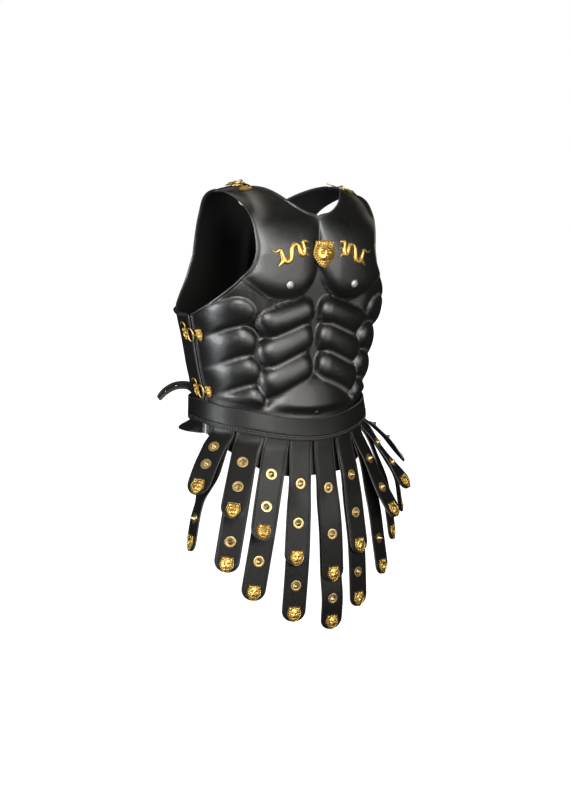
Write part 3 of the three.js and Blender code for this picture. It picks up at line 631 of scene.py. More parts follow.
def finish_piece(
    name: str,
    bm: bmesh.types.BMesh,
    materials: Sequence[bpy.types.Material],
    nodes: Iterable[str] = (),
    shelling: Shelling | None = None,
    sharp: float = 50.0,
) -> bpy.types.Object:
    """Makes the object of a piece, with its thickness, smooth shading, materials, body and CAD nodes.

    Args:
        name: the piece's name.
        bm: its mesh in millimetres, which is freed.
        materials: its materials, in slot order.
        nodes: the CAD nodes it stands for.
        shelling: wall thickness for an open sheet whose faces point out.
        sharp: edges that turn by more than this many degrees stay sharp.

    Returns:
        The finished object.
    """
    bmesh.ops.scale(bm, vec=(METRE, METRE, METRE), verts=bm.verts)
    mesh = bpy.data.meshes.new(name)
    bm.to_mesh(mesh)
    bm.free()
    for material in materials:
        mesh.materials.append(material)
    piece = bpy.data.objects.new(name, mesh)
    bpy.context.scene.collection.objects.link(piece)
    if shelling:
        wall = piece.modifiers.new("wall", "SOLIDIFY")
        wall.thickness = shelling.thickness * METRE
        wall.offset = -1
        wall.use_quality_normals = True
        wall.material_offset = shelling.inner_slot
        bpy.context.view_layer.update()
        solid = bpy.data.meshes.new_from_object(piece.evaluated_get(bpy.context.evaluated_depsgraph_get()))
        piece.modifiers.clear()
        piece.data = solid
        bpy.data.meshes.remove(mesh)
        solid.name = name
    piece.data.shade_smooth()
    piece.data.set_sharp_from_angle(angle=math.radians(sharp))
    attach(piece, "root")
    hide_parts(*nodes)
    LOG.info("%s: %d faces", name, len(piece.data.polygons))
    return piece


# ---------------------------------------------------------------- finishes
class NodePad:
    """A short way to write shader nodes."""

    def __init__(self, tree: bpy.types.NodeTree) -> None:
        """Keeps the tree that the nodes go into."""
        self.tree = tree

    def add(
        self, kind: str, inputs: dict[str | int, object] | None = None, **settings: object
    ) -> bpy.types.Node:
        """Adds a node.

        Args:
            kind: the node's type.
            inputs: a value or another node's socket for each input.
            settings: the node's own properties.

        Returns:
            The node.
        """
        node = self.tree.nodes.new(kind)
        for key, value in settings.items():
            setattr(node, key, value)
        for key, value in (inputs or {}).items():
            if isinstance(value, bpy.types.NodeSocket):
                self.tree.links.new(value, node.inputs[key])
            else:
                node.inputs[key].default_value = value
        return node

    def math(self, operation: str, a: object, b: object = 0.0, clamped: bool = False) -> bpy.types.NodeSocket:
        """The result of a Math node."""
        return self.add("ShaderNodeMath", {0: a, 1: b}, operation=operation, use_clamp=clamped).outputs[0]

    def mix(self, factor: object, a: object, b: object) -> bpy.types.NodeSocket:
        """A mix of two colours.

        Args:
            factor: share of the second colour, a value or a socket.
            a: the first colour.
            b: the second colour.

        Returns:
            The socket of the mixed colour.
        """
        node = self.add("ShaderNodeMix", data_type="RGBA")
        for index, value in ((0, factor), (6, a), (7, b)):
            if isinstance(value, bpy.types.NodeSocket):
                self.tree.links.new(value, node.inputs[index])
            else:
                node.inputs[index].default_value = value
        return node.outputs[2]

    def span(
        self, value: object, low: float, high: float, to_low: float, to_high: float
    ) -> bpy.types.NodeSocket:
        """A value mapped from one range to another and held inside it."""
        inputs = {0: value, 1: low, 2: high, 3: to_low, 4: to_high}
        return self.add("ShaderNodeMapRange", inputs, clamp=True).outputs[0]


def new_group(
    name: str, inputs: dict[str, float], outputs: Sequence[str]
) -> tuple[NodePad, bpy.types.NodeTree]:
    """An empty shader group.

    Args:
        name: its name.
        inputs: the value of each float input.
        outputs: names of the float outputs.

    Returns:
        A pad to write the group with, and the group.
    """
    tree = bpy.data.node_groups.new(name, "ShaderNodeTree")
    for key, value in inputs.items():
        socket = tree.interface.new_socket(name=key, in_out="INPUT", socket_type="NodeSocketFloat")
        socket.default_value = value
    for key in outputs:
        tree.interface.new_socket(name=key, in_out="OUTPUT", socket_type="NodeSocketFloat")
    return NodePad(tree), tree


def grain_group() -> bpy.types.NodeTree:
    """Shared group: fine skin grain, slow blotches and hair-thin scuffs in object space.

    Returns:
        The group, with the input Scale and the outputs Height, Blotch and Scuff.
    """
    pad, tree = new_group("grain", {"Scale": 1.0}, ("Height", "Blotch", "Scuff"))
    scale = pad.add("NodeGroupInput").outputs["Scale"]
    place = pad.add("ShaderNodeTexCoord").outputs["Object"]
    cells = pad.add(
        "ShaderNodeTexVoronoi",
        {"Vector": place, "Scale": pad.math("MULTIPLY", scale, 1100.0)},
        feature="DISTANCE_TO_EDGE",
    )
    fine = pad.add(
        "ShaderNodeTexNoise",
        {"Vector": place, "Scale": pad.math("MULTIPLY", scale, 620.0), "Detail": 4.0},
    )
    slow = pad.add(
        "ShaderNodeTexNoise",
        {"Vector": place, "Scale": pad.math("MULTIPLY", scale, 11.0), "Detail": 5.0},
    )
    lines = pad.add(
        "ShaderNodeTexNoise",
        {"Vector": place, "Scale": pad.math("MULTIPLY", scale, 90.0), "Detail": 8.0, "Distortion": 1.6},
    )
    pebble = pad.span(cells.outputs["Distance"], 0.0, 0.35, 0.0, 1.0)
    height = pad.math("ADD", pad.math("MULTIPLY", pebble, 0.6), pad.math("MULTIPLY", fine.outputs[0], 0.8))
    out = pad.add("NodeGroupOutput")
    tree.links.new(height, out.inputs["Height"])
    tree.links.new(slow.outputs[0], out.inputs["Blotch"])
    tree.links.new(pad.span(lines.outputs[0], 0.62, 0.72, 0.0, 1.0), out.inputs["Scuff"])
    return tree


@dataclass(frozen=True)
class LeatherFinish:
    """Dyed and waxed leather: near black, glossy, with grain, scuffs, and pale lines of painted highlight
    along creases and edges.
    """

    name: str
    colour: tuple[float, float, float] = (0.0042, 0.0041, 0.0038)
    # colour of the painted highlight lines and of the scuffs
    highlight_and_scuff_tone: tuple[float, float, float] = (0.13, 0.123, 0.112)
    roughness: float = 0.31
    spread: float = 0.09
    coat: float = 0.12
    coat_roughness: float = 0.14
    gloss: float = 0.5
    grain: float = 1.0
    bump: float = 0.00012

    def make(self, grain: bpy.types.NodeTree) -> bpy.types.Material:
        """The finish as a material.

        Args:
            grain: the shared grain group.

        Returns:
            The material; a per-vertex mask of the mesh says where the painted highlight lines go.
        """
        material = bpy.data.materials.new(self.name)
        material.use_nodes = True
        pad = NodePad(material.node_tree)
        shader = material.node_tree.nodes["Principled BSDF"]
        skin = pad.add("ShaderNodeGroup", node_tree=grain)
        skin.inputs["Scale"].default_value = self.grain
        # Painted highlight: pale lines from the mesh's mask, broken up by blotch noise, plus faint scuff
        # lines from noise.
        painted_highlight = pad.add("ShaderNodeAttribute", attribute_name="painted_highlight").outputs["Fac"]
        patchy = pad.span(skin.outputs["Blotch"], 0.35, 0.65, 0.35, 1.0)
        highlight_and_scuff = pad.math("MULTIPLY", painted_highlight, patchy, clamped=True)
        highlight_and_scuff = pad.math("ADD", highlight_and_scuff, pad.math("MULTIPLY", skin.outputs["Scuff"], 0.05), clamped=True)
        tone = pad.mix(highlight_and_scuff, (*self.colour, 1), (*self.highlight_and_scuff_tone, 1))
        smooth, dull = self.roughness - self.spread / 2, self.roughness + self.spread / 2
        rough = pad.span(skin.outputs["Blotch"], 0.3, 0.7, smooth, dull)
        rough = pad.math("ADD", rough, pad.math("MULTIPLY", highlight_and_scuff, 0.2), clamped=True)
        bump = pad.add(
            "ShaderNodeBump", {"Strength": 1.0, "Distance": self.bump, "Height": skin.outputs["Height"]}
        )
        links = material.node_tree.links
        links.new(tone, shader.inputs["Base Color"])
        links.new(rough, shader.inputs["Roughness"])
        links.new(bump.outputs[0], shader.inputs["Normal"])
        shader.inputs["Specular IOR Level"].default_value = self.gloss
        shader.inputs["Coat Weight"].default_value = self.coat
        shader.inputs["Coat Roughness"].default_value = self.coat_roughness
        return material


@dataclass(frozen=True)
class MetalFinish:
    """Cast or polished metal, with painted shade darkening the deep places by a per-vertex mask of the mesh.
    """

    name: str
    colour: tuple[float, float, float]
    # colour of the painted shade laid into the hollows
    shade_colour: tuple[float, float, float]
    roughness: float
    pitting: float

    def make(self, grain: bpy.types.NodeTree) -> bpy.types.Material:
        """The finish as a material.

        Args:
            grain: the shared grain group.

        Returns:
            The material.
        """
        material = bpy.data.materials.new(self.name)
        material.use_nodes = True
        pad = NodePad(material.node_tree)
        shader = material.node_tree.nodes["Principled BSDF"]
        cast = pad.add("ShaderNodeGroup", node_tree=grain)
        cast.inputs["Scale"].default_value = 0.8
        # Painted shade: the mesh's hollow mask, broken up by blotch noise, mixes the metal towards the dark
        # shade colour.
        hollow_shade = pad.add("ShaderNodeAttribute", attribute_name="hollow_shade").outputs["Fac"]
        patchy = pad.span(cast.outputs["Blotch"], 0.3, 0.7, 0.6, 1.0)
        painted_shade = pad.math("MULTIPLY", hollow_shade, patchy, clamped=True)
        tone = pad.mix(painted_shade, (*self.colour, 1), (*self.shade_colour, 1))
        rough = pad.span(cast.outputs["Blotch"], 0.3, 0.7, self.roughness, self.roughness + 0.12)
        rough = pad.math("ADD", rough, pad.math("MULTIPLY", painted_shade, 0.25), clamped=True)
        bump = pad.add(
            "ShaderNodeBump", {"Strength": 1.0, "Distance": self.pitting, "Height": cast.outputs["Height"]}
        )
        links = material.node_tree.links
        links.new(tone, shader.inputs["Base Color"])
        links.new(rough, shader.inputs["Roughness"])
        links.new(bump.outputs[0], shader.inputs["Normal"])
        shader.inputs["Metallic"].default_value = 1.0
        return material


@dataclass
class Finishes:
    """Every material of the cuirass."""

    shell: bpy.types.Material
    suede: bpy.types.Material
    strap: bpy.types.Material
    thread: bpy.types.Material
    brass: bpy.types.Material
    pale_brass: bpy.types.Material
    steel: bpy.types.Material

    @classmethod
    def make(cls) -> "Finishes":
        """Makes the materials and the group that they share.

        Returns:
            All of them.
        """
        grain = grain_group()
        gold, pale_gold, silver = (0.58, 0.38, 0.11), (0.5, 0.365, 0.16), (0.42, 0.42, 0.41)
        # dark colours painted into the metal's hollows as shade: brown on the brass, grey on the steel
        brass_shade, steel_shade = (0.022, 0.011, 0.003), (0.1, 0.1, 0.1)
        suede = LeatherFinish(
            "flesh_side", colour=(0.0045, 0.004, 0.0035), highlight_and_scuff_tone=(0.03, 0.028, 0.025),
            roughness=0.85, spread=0.1, coat=0.0, gloss=0.3, grain=0.7, bump=0.0005,
        )
        thread = LeatherFinish(
            "waxed_thread", colour=(0.075, 0.069, 0.06), highlight_and_scuff_tone=(0.12, 0.11, 0.1),
            roughness=0.45, spread=0.1, coat=0.0,
        )
        return cls(
            shell=LeatherFinish("moulded_leather").make(grain),
            suede=suede.make(grain),
            strap=LeatherFinish("strap_leather", roughness=0.4, coat=0.02, gloss=0.24, grain=1.1).make(grain),
            thread=thread.make(grain),
            brass=MetalFinish("cast_gilt_brass", gold, brass_shade, 0.36, 0.0001).make(grain),
            pale_brass=MetalFinish("stud_brass", pale_gold, brass_shade, 0.35, 0.00004).make(grain),
            steel=MetalFinish("nipple_steel", silver, steel_shade, 0.4, 0.0003).make(grain),
        )


# ---------------------------------------------------------------- plates
@dataclass(frozen=True)
class EdgeRow:
    """A place on the edge of a plate half: `at` runs from 0 at the hem to 1 at the shoulder seam."""

    at: float
    angle: float
    level: float


class Edge:
    """One side of a plate half, smooth through its rows."""

    def __init__(self, rows: Sequence[EdgeRow]) -> None:
        """Draws the curves through the places.

        Args:
            rows: places from the hem to the shoulder seam.
        """
        at = [r.at for r in rows]
        self.angle = Curve(at, [r.angle for r in rows])
        self.level = Curve(at, [r.level for r in rows])


@dataclass
class Plate:
    """A moulded plate, mirrored from a four-sided half that is stretched between two edges."""

    name: str
    centre: Edge
    side: Edge
    hem: Curve
    relief: Callable[[float, float], tuple[float, float]]
    neck_at: float
    columns: int = 96
    rows: int = 205
    wall: float = 3.2
    bead: float = 1.3
    bead_width: float = 4.0
    soften: float = 0.9
    height: float = 440
    fine: tuple[float, ...] = (0, 0.7, 1.4, 2.1, 2.8, 3.5, 4.2, 5.0, 5.8, 6.8, 8.2)
    traces: tuple[int, int, int] = (900, 350, 160)  # steps along the side, neck and shoulder edges

    def _spread(self, length: float, count: int) -> list[float]:
        """Grid lines that crowd at both ends of a length.

        Args:
            length: the length.
            count: squares along it.

        Returns:
            The share of the length at each line.
        """
        edge = self.fine[-1]
        inner = count - 2 * (len(self.fine) - 1)
        run = [lerp(edge, length - edge, k / inner) for k in range(1, inner)]
        return [d / length for d in [*self.fine, *run, *[length - d for d in reversed(self.fine)]]]

    def _place(self, u: float, v: float) -> tuple[float, float]:
        """A place on the half.

        Args:
            u: share of the way from the centre to the side edge.
            v: share of the way from the hem to the shoulder seam.

        Returns:
            Angle and level.
        """
        a0, l0 = self.centre.angle(0), self.centre.level(0)
        a1, l1 = self.side.angle(0), self.side.level(0)
        bend = (1 - v) ** 2 * (self.hem(lerp(a0, a1, u)) - lerp(l0, l1, u))
        angle = lerp(self.centre.angle(v), self.side.angle(v), u)
        return angle, lerp(self.centre.level(v), self.side.level(v), u) + bend

    def _skin(self, angle: float, level: float) -> tuple[Vector, Vector, float]:
        """The moulded surface, with the relief softened a little.

        Args:
            angle: degrees round the body.
            level: level on the body.

        Returns:
            Point, outward direction and crease.
        """
        seat = seat_on(TORSO.point, angle, level)
        z = seat.origin.z
        rise, turn = self.soften, self.soften / 2.6
        spots = [(0, 0), (turn, rise), (-turn, rise), (turn, -rise), (-turn, -rise)]
        found = [self.relief(angle + da, z + dz) for da, dz in spots]
        height = sum(h for h, _ in found) / len(found)
        return seat.at(z=height), seat.out, max(c for _, c in found)

    def _border(self) -> KDTree:
        """Finds places on the rolled edges.

        Returns:
            A search tree of points along every rolled edge of the half.
        """
        side, neck, shoulder = self.traces
        places = [(1, k / side) for k in range(side + 1)]
        places += [(0, lerp(self.neck_at, 1, k / neck)) for k in range(neck + 1)]
        places += [(k / shoulder, 1) for k in range(shoulder + 1)]
        points = [self._skin(*self._place(u, v))[0] for u, v in places]
        tree = KDTree(len(points))
        for index, point in enumerate(points):
            tree.insert(point, index)
        tree.balance()
        return tree

    def build(self, finishes: Finishes, nodes: Sequence[str]) -> bpy.types.Object:
        """Makes the plate: grid, relief, rolled edge, mirror half and wall.

        Args:
            finishes: the materials.
            nodes: the CAD nodes it stands for.

        Returns:
            The plate.
        """
        border = self._border()
        lines = self._spread(self.height, self.rows)
        nearest = min(range(len(lines)), key=lambda k: abs(lines[k] - self.neck_at))
        lines[nearest] = self.neck_at
        widths = []
        for v in lines:
            left, right = self._skin(*self._place(0, v))[0], self._skin(*self._place(1, v))[0]
            widths.append((right - left).length * 1.06)
        across = [self._spread(width, self.columns) for width in widths]
        bm = new_grid(self.columns, self.rows)
        painted_highlight = bm.verts.layers.float.new("painted_highlight")
        for vert in bm.verts:
            i, j = round(vert.co.x), round(vert.co.y)
            v = lines[j]
            point, out, crease = self._skin(*self._place(across[j][i], v))
            away = border.find(point)[2]
            across_bead = 2 * away / self.bead_width - 1
            roll = self.bead * math.sqrt(max(0.0, 1 - across_bead ** 2))
            roll -= 0.7 * hump(away, self.bead_width + 1.1, 1.0)
            # Painted highlight: a pale line along each muscle crease and along the top of the rolled edge.
            vert[painted_highlight] = max(crease * 0.85, 0.45 * hump(away, 1.2, 1.3))
            vert.co = point + out * roll
            if i == 0 and j <= nearest:
                vert.co.x = 0
        bmesh.ops.mirror(bm, geom=[*bm.verts, *bm.edges, *bm.faces], axis="X", merge_dist=0.01)
        bmesh.ops.remove_doubles(bm, verts=bm.verts, dist=0.01)
        bmesh.ops.recalc_face_normals(bm, faces=bm.faces)
        self._face_out(bm)
        shelling = Shelling(self.wall, inner_slot=1)
        return finish_piece(self.name, bm, [finishes.shell, finishes.suede], nodes, shelling)

    def _face_out(self, bm: bmesh.types.BMesh) -> None:
        """Turns the sheet so that its faces point away from the body's axis.

        Args:
            bm: the sheet.
        """
        outward = 0.0
        for face in bm.faces:
            middle = face.calc_center_median()
            outward += face.normal.dot(middle - Vector((0, -15, middle.z)))
        if outward < 0:
            bmesh.ops.reverse_faces(bm, faces=bm.faces)


def breastplate() -> Plate:
    """The front plate.

    Returns:
        The plate, ready to build.
    """
    centre = Edge([
        EdgeRow(0, 0, -492),
        EdgeRow(0.82, 0, -55.9),  # neck notch
        EdgeRow(0.857, 10.8, -48.6),
        EdgeRow(0.899, 21, -30.6),
        EdgeRow(0.94, 27.8, -6.3),
        EdgeRow(0.977, 32.8, 15),
        EdgeRow(1, 37.3, 27.5),
    ])
    side = Edge([
        EdgeRow(0, 84.3, HEM_FRONT(84.3)),
        EdgeRow(0.45, 84.3, -214),  # lowest point of the arm hole
        EdgeRow(0.496, 80.6, -208.5),
        EdgeRow(0.559, 72.5, -195),
        EdgeRow(0.623, 63.3, -174),
        EdgeRow(0.686, 55.4, -149),
        EdgeRow(0.735, 50.3, -126),
        EdgeRow(0.781, 48.7, -102.4),
        EdgeRow(0.837, 48.8, -71.8),
        EdgeRow(0.891, 50.4, -37),
        EdgeRow(0.939, 53.2, -4.5),
        EdgeRow(1, 57.5, 42.2),
    ])
    return Plate("moulded_breastplate", centre, side, HEM_FRONT, FRONT.relief, 0.82)


def backplate() -> Plate:
    """The back plate with the shoulder straps.

    Returns:
        The plate, ready to build.
    """
    centre = Edge([
        EdgeRow(0, 180, -416),
        EdgeRow(0.74, 180, -36.6),  # middle of the back neckline
        EdgeRow(0.79, 159.1, -26.5),
        EdgeRow(0.84, 144.1, 2.4),
        EdgeRow(0.89, 135.8, 33.1),
        EdgeRow(0.94, 132, 60.6),
        EdgeRow(1, 130.5, 101.5),
    ])
    side = Edge([
        EdgeRow(0, 85.3, HEM_BACK(85.3)),
        EdgeRow(0.42, 85.3, -214.5),
        EdgeRow(0.45, 91.5, -214.2),
        EdgeRow(0.484, 98.4, -211.5),
        EdgeRow(0.545, 107.7, -200),
        EdgeRow(0.606, 114.6, -177),
        EdgeRow(0.66, 118.3, -150),
        EdgeRow(0.715, 119.5, -120),
        EdgeRow(0.78, 120.5, -84.1),
        EdgeRow(0.85, 119.2, -44.3),
        EdgeRow(0.925, 113, 10.9),
        EdgeRow(0.965, 109.4, 43.8),
        EdgeRow(1, 107, 87),
    ])
    return Plate("moulded_backplate", centre, side, HEM_BACK, BACK.relief, 0.74)


def skin_over(rings: Sequence[Sequence[Vector]], looped: bool = False) -> bmesh.types.BMesh:
    """A closed body stretched over rings of points.

    Args:
        rings: closed rings with the same number of points.
        looped: whether the last ring meets the first; otherwise both ends are filled.

    Returns:
        The closed mesh with outward faces.
    """
    around, along = len(rings[0]), len(rings) - (0 if looped else 1)
    bm = new_grid(around, along)
    for vert in bm.verts:
        vert.co = rings[round(vert.co.y) % len(rings)][round(vert.co.x) % around]
    bmesh.ops.remove_doubles(bm, verts=bm.verts, dist=1e-4)
    rim = [e for e in bm.edges if e.is_boundary]
    if rim:
        bmesh.ops.holes_fill(bm, edges=rim)
    bmesh.ops.recalc_face_normals(bm, faces=bm.faces)
    return bm


def paint_hollow_shade(bm: bmesh.types.BMesh, gain: float = 1.6, passes: int = 2) -> None:
    """Writes the per-vertex painted-shade mask: 1 in dents and folds, 0 on ridges and flats.

    Args:
        bm: the mesh.
        gain: how strongly a dent counts.
        passes: how often the attribute is blurred.
    """
    layer = bm.verts.layers.float.get("hollow_shade") or bm.verts.layers.float.new("hollow_shade")
    bm.normal_update()
    for vert in bm.verts:
        bends = [(e.other_vert(vert).co - vert.co).normalized().dot(vert.normal) for e in vert.link_edges]
        vert[layer] = clamp(gain * sum(bends) / max(len(bends), 1), 0, 1)
    for _ in range(passes):
        blurred = {
            v: (v[layer] + sum(e.other_vert(v)[layer] for e in v.link_edges)) / (1 + len(v.link_edges))
            for v in bm.verts
        }
        for vert, value in blurred.items():
            vert[layer] = clamp(value * 1.25, 0, 1)


def through(points: Sequence[Vector], steps: int, closed: bool = False) -> list[Vector]:
    """A smooth (Catmull-Rom) curve.

    Args:
        points: the points it passes through.
        steps: steps to each stretch between two points.
        closed: whether the ends meet.

    Returns:
        Points along the curve.
    """
    n = len(points)

    def at(i: int) -> Vector:
        """The point with an index, wrapped or held at the ends."""
        return points[i % n] if closed else points[int(clamp(i, 0, n - 1))]

    path = []
    for i in range(n if closed else n - 1):
        p0, p1, p2, p3 = at(i - 1), at(i), at(i + 1), at(i + 2)
        for k in range(steps):
            t = k / steps
            bend = p1 * 2 + (p2 - p0) * t + (p0 * 2 - p1 * 5 + p2 * 4 - p3) * t * t
            path.append((bend + (p1 * 3 - p0 - p2 * 3 + p3) * t ** 3) * 0.5)
    return path if closed else [*path, points[-1].copy()]


@dataclass
class Navel:
    """The small raised button of the navel."""

    profile: tuple[tuple[float, float], ...] = (  # radius and height
        (0, -1), (4.6, -1), (4.6, 0.2), (4.3, 0.9), (3.6, 1.6), (2.6, 2.1), (1.4, 2.35), (0, 2.4),
    )
    steps: int = 28

    def build(self, finishes: Finishes) -> None:
        """Makes and dresses it."""
        button = placed(spun(self.profile, self.steps), seat_on(front_skin, 0, FRONT.navel_z))
        finish_piece("navel_button", button, [finishes.shell])


# ---------------------------------------------------------------- cast ornaments
@dataclass
class LionMask:
    """A cast lion's head in relief on its own x (side), y (up) and z (out)."""

    width: float
    height: float
    relief: float
    rings: int = 22
    spokes: int = 72
    locks: int = 20
    border: float = 0.0
    # strength of the painted shade in the low parts of the relief
    painted_shade: float = 0.95

    def outline(self, turn: float) -> float:
        """Reach of the rim.

        Args:
            turn: radians from the crown.

        Returns:
            The reach as a share of the half size.
        """
        off = abs(math.atan2(math.sin(turn), math.cos(turn)))
        ear = 0.2 * hump(off, 0.68, 0.2)
        chin = 0.07 * hump(off, math.pi, 0.4)
        jaw = 0.07 * hump(off, 2.25, 0.45)
        return 0.92 + ear + chin - jaw + 0.018 * math.cos(self.locks * turn)

    def face(self, x: float, y: float, turn: float, share: float) -> float:
        """Height of the casting at a place.

        Args:
            x: sideways, as a share of the half width.
            y: upwards, as a share of the half height.
            turn: radians from the crown.
            share: share of the way to the rim.

        Returns:
            The height as a share of the relief.
        """
        side = abs(x)
        edge = math.sqrt(max(0.0, 1 - share ** 6))
        lock = 0.09 * math.cos(self.locks * turn + 5.0 * share * math.copysign(1, x))
        inner = 0.075 * math.cos(self.locks * turn + 2.2 - 6.5 * share * math.copysign(1, x))
        mane = (0.4 + lock + inner * hump(share, 0.62, 0.2)) * edge
        skull = 0.62 * math.sqrt(max(0.0, 1 - (x / 0.62) ** 2 - ((y + 0.02) / 0.66) ** 2))
        height = max(mane, skull + 0.12 * (skull > 0))
        height += 0.2 * hump(side, 0.25, 0.14) * hump(y, 0.24, 0.08)  # brows
        height -= 0.36 * hump(side, 0.25, 0.12) * hump(y, 0.07, 0.09)  # eye sockets
        height += 0.17 * hump(side, 0.25, 0.055) * hump(y, 0.07, 0.045)  # eyeballs
        height += 0.16 * hump(side, 0.0, 0.1) * ramp(y, 0.3, 0.12) * ramp(y, -0.3, -0.18)  # nose bridge
        height += 0.2 * hump(side, 0.0, 0.13) * hump(y, -0.16, 0.075)  # nose
        height += 0.19 * hump(side, 0.16, 0.13) * hump(y, -0.31, 0.12)  # muzzle
        height -= 0.42 * hump(side, 0.0, 0.26) * hump(y, -0.47, 0.055)  # mouth
        height += 0.16 * hump(side, 0.0, 0.13) * hump(y, -0.6, 0.075)  # chin
        height += 0.34 * hump(math.hypot(side - 0.6, y - 0.72), 0, 0.18)  # ears
        height -= 0.34 * hump(math.hypot(side - 0.6, y - 0.73), 0, 0.08)
        if self.border:
            height = max(height * ramp(share, 0.93, 0.8), 0.5 * hump(share, 0.945, self.border))
        return clamp(height, 0.16, 1.0)

    def mesh(self) -> bmesh.types.BMesh:
        """Makes the casting.

        Returns:
            The closed mesh, flat behind at z = 0.
        """
        bm = new_grid(self.spokes, self.rings)
        for vert in bm.verts:
            turn = 2 * math.pi * round(vert.co.x) / self.spokes
            share = round(vert.co.y) / self.rings
            reach = self.outline(turn) * share
            x, y = reach * math.sin(turn), reach * math.cos(turn)
            z = self.relief * self.face(x, y, turn, share)
            vert.co = Vector((0.5 * self.width * x, 0.5 * self.height * y, z))
        bmesh.ops.remove_doubles(bm, verts=bm.verts, dist=1e-4)
        # Painted shade: dents get the shade mask, and the low parts of the relief are darkened further.
        paint_hollow_shade(bm, gain=3.6, passes=1)
        hollow_shade = bm.verts.layers.float["hollow_shade"]
        for vert in bm.verts:
            vert[hollow_shade] = max(vert[hollow_shade], self.painted_shade * ramp(vert.co.z / self.relief, 0.46, 0.27))
        rim = [e for e in bm.edges if e.is_boundary]
        drawn = bmesh.ops.extrude_edge_only(bm, edges=rim)["geom"]
        skirt = [v for v in drawn if isinstance(v, bmesh.types.BMVert)]
        for vert in skirt:
            vert.co.z = 0
        bmesh.ops.holes_fill(bm, edges=[e for e in bm.edges if e.is_boundary])
        bmesh.ops.recalc_face_normals(bm, faces=bm.faces)
        return bm


@dataclass
class ChestOrnaments:
    """Lion boss, the two serpents that face it, and the nipple studs."""

    boss: LionMask = field(
        default_factory=lambda: LionMask(51, 48, 9, rings=46, spokes=168, locks=26, painted_shade=0.5)
    )
    boss_z: float = -112
    serpent: tuple[tuple[float, float, float], ...] = (  # girth, height, half width, from tail to beak
        (95, -107, 0.8), (88.5, -110.5, 2), (82, -106.5, 2.6), (78.5, -114, 3.2), (76, -122, 4),
        (71, -125.5, 4.2), (65.5, -122, 3.9), (63.5, -114, 3.7), (63, -104, 3.7), (59, -98, 3.5),
        (53.5, -97.5, 3.6), (50, -103.5, 4.2), (47.5, -111, 4.6), (43, -113, 4.6), (40.5, -106, 4),
        (42, -98, 3.2), (42, -92.5, 3), (37, -92, 2.6), (32, -94, 0.8),
    )
    limbs: tuple[tuple[tuple[float, float, float], ...], ...] = (
        ((74, -120, 4), (79.5, -127, 3.6), (85, -133, 0.8)),  # fin
        ((42, -105, 2), (36, -103, 1.5), (31, -104, 0.7)),  # claws
        ((42, -112, 2), (36, -113.5, 1.5), (31, -117, 0.7)),
    )
    scales: float = 0.35
    nipple: tuple[float, float] = (66, -163)  # girth and height
    stud_radius: float = 7.2
    stud_height: float = 4.0

    def boss_seat(self) -> Seat:
        """Finds the boss's place.

        Returns:
            A seat on the inner borders of both breasts.
        """
        touch = max(-front_skin(angle, self.boss_z - 1).y for angle in (4, 7, 10))
        origin = Vector((0, -touch - GAP - 0.3, self.boss_z))
        return Seat(origin, Vector((1, 0, 0)), Vector((0, 0, 1)), Vector((0, -1, 0)))

    def relief(
        self, path: Sequence[tuple[float, float, float]], mirror: int, scales: float
    ) -> bmesh.types.BMesh:
        """Raised work that follows the chest along a path.

        Args:
            path: girth, height and half width of each place.
            mirror: -1 for the wearer's right, 1 for the left.
            scales: height of the scales across its back.

        Returns:
            The closed mesh.
        """
        line = through([Vector(p) for p in path], 7)
        rings = []
        for i, here in enumerate(line):
            ahead, behind = line[min(i + 1, len(line) - 1)], line[max(i - 1, 0)]
            run = math.hypot(ahead.x - behind.x, ahead.y - behind.y)
            across = Vector((-(ahead.y - behind.y) / run, (ahead.x - behind.x) / run))
            half = here.z
            crown = 1.4 + half * 0.36 + scales * abs(math.sin(i * 0.9))
            ring = []
            for k in range(14):
                turn = 2 * math.pi * k / 14
                lift = GAP + 0.3 + crown * max(math.sin(turn), 0.0)
                aside = half * math.cos(turn)
                w, z = here.x + across.x * aside, here.y + across.y * aside
                angle = angle_of(w) * mirror
                ring.append(seat_on(front_skin, angle, TORSO.level_at(angle, z), lift).origin)
            rings.append(ring)
        return skin_over(rings)

    def build(self, finishes: Finishes) -> None:
        """Makes and dresses the chest's fittings.

        Args:
            finishes: the materials.
        """
        lion = placed(self.boss.mesh(), self.boss_seat())
        finish_piece("chest_lion", lion, [finishes.brass], ["lion_boss"], sharp=70)
        for name, mirror in (("right", -1), ("left", 1)):
            body = self.relief(self.serpent, mirror, self.scales)
            snake = joined(body, *(self.relief(limb, mirror, 0.0) for limb in self.limbs))
            # painted shade in the dents of the serpents
            paint_hollow_shade(snake, gain=2.5)
            node = f"serpent_{name}"
            finish_piece(f"chest_{node}", snake, [finishes.brass], [node], sharp=70)
            w, z = self.nipple
            seat = seat_on(front_skin, mirror * angle_of(w), z, GAP + 0.5)
            dome = placed(self.stud(), seat)
            finish_piece(f"nipple_dome_{name}", dome, [finishes.steel], [f"nipple_stud_{name}"])

    def stud(self) -> bmesh.types.BMesh:
        """A hammered dome with a rounded rim.

        Returns:
            The closed mesh, round z.
        """
        steps = 12
        profile = [(0.0, 0.0), (self.stud_radius, 0.0), (self.stud_radius, 0.7)]
        for k in range(1, steps + 1):
            turn = math.pi / 2 * k / steps
            rise = 0.7 + (self.stud_height - 0.7) * math.sin(turn)
            profile.append((self.stud_radius * math.cos(turn) if k < steps else 0.0, rise))
        bm = spun(profile, 36)
        for vert in bm.verts:
            if vert.co.z > 1:
                vert.co.z += 0.13 * math.sin(1.9 * vert.co.x + 0.6) * math.sin(2.1 * vert.co.y + 1.3)
        # painted shade in the dents of the hammered dome
        paint_hollow_shade(bm)
        return bm


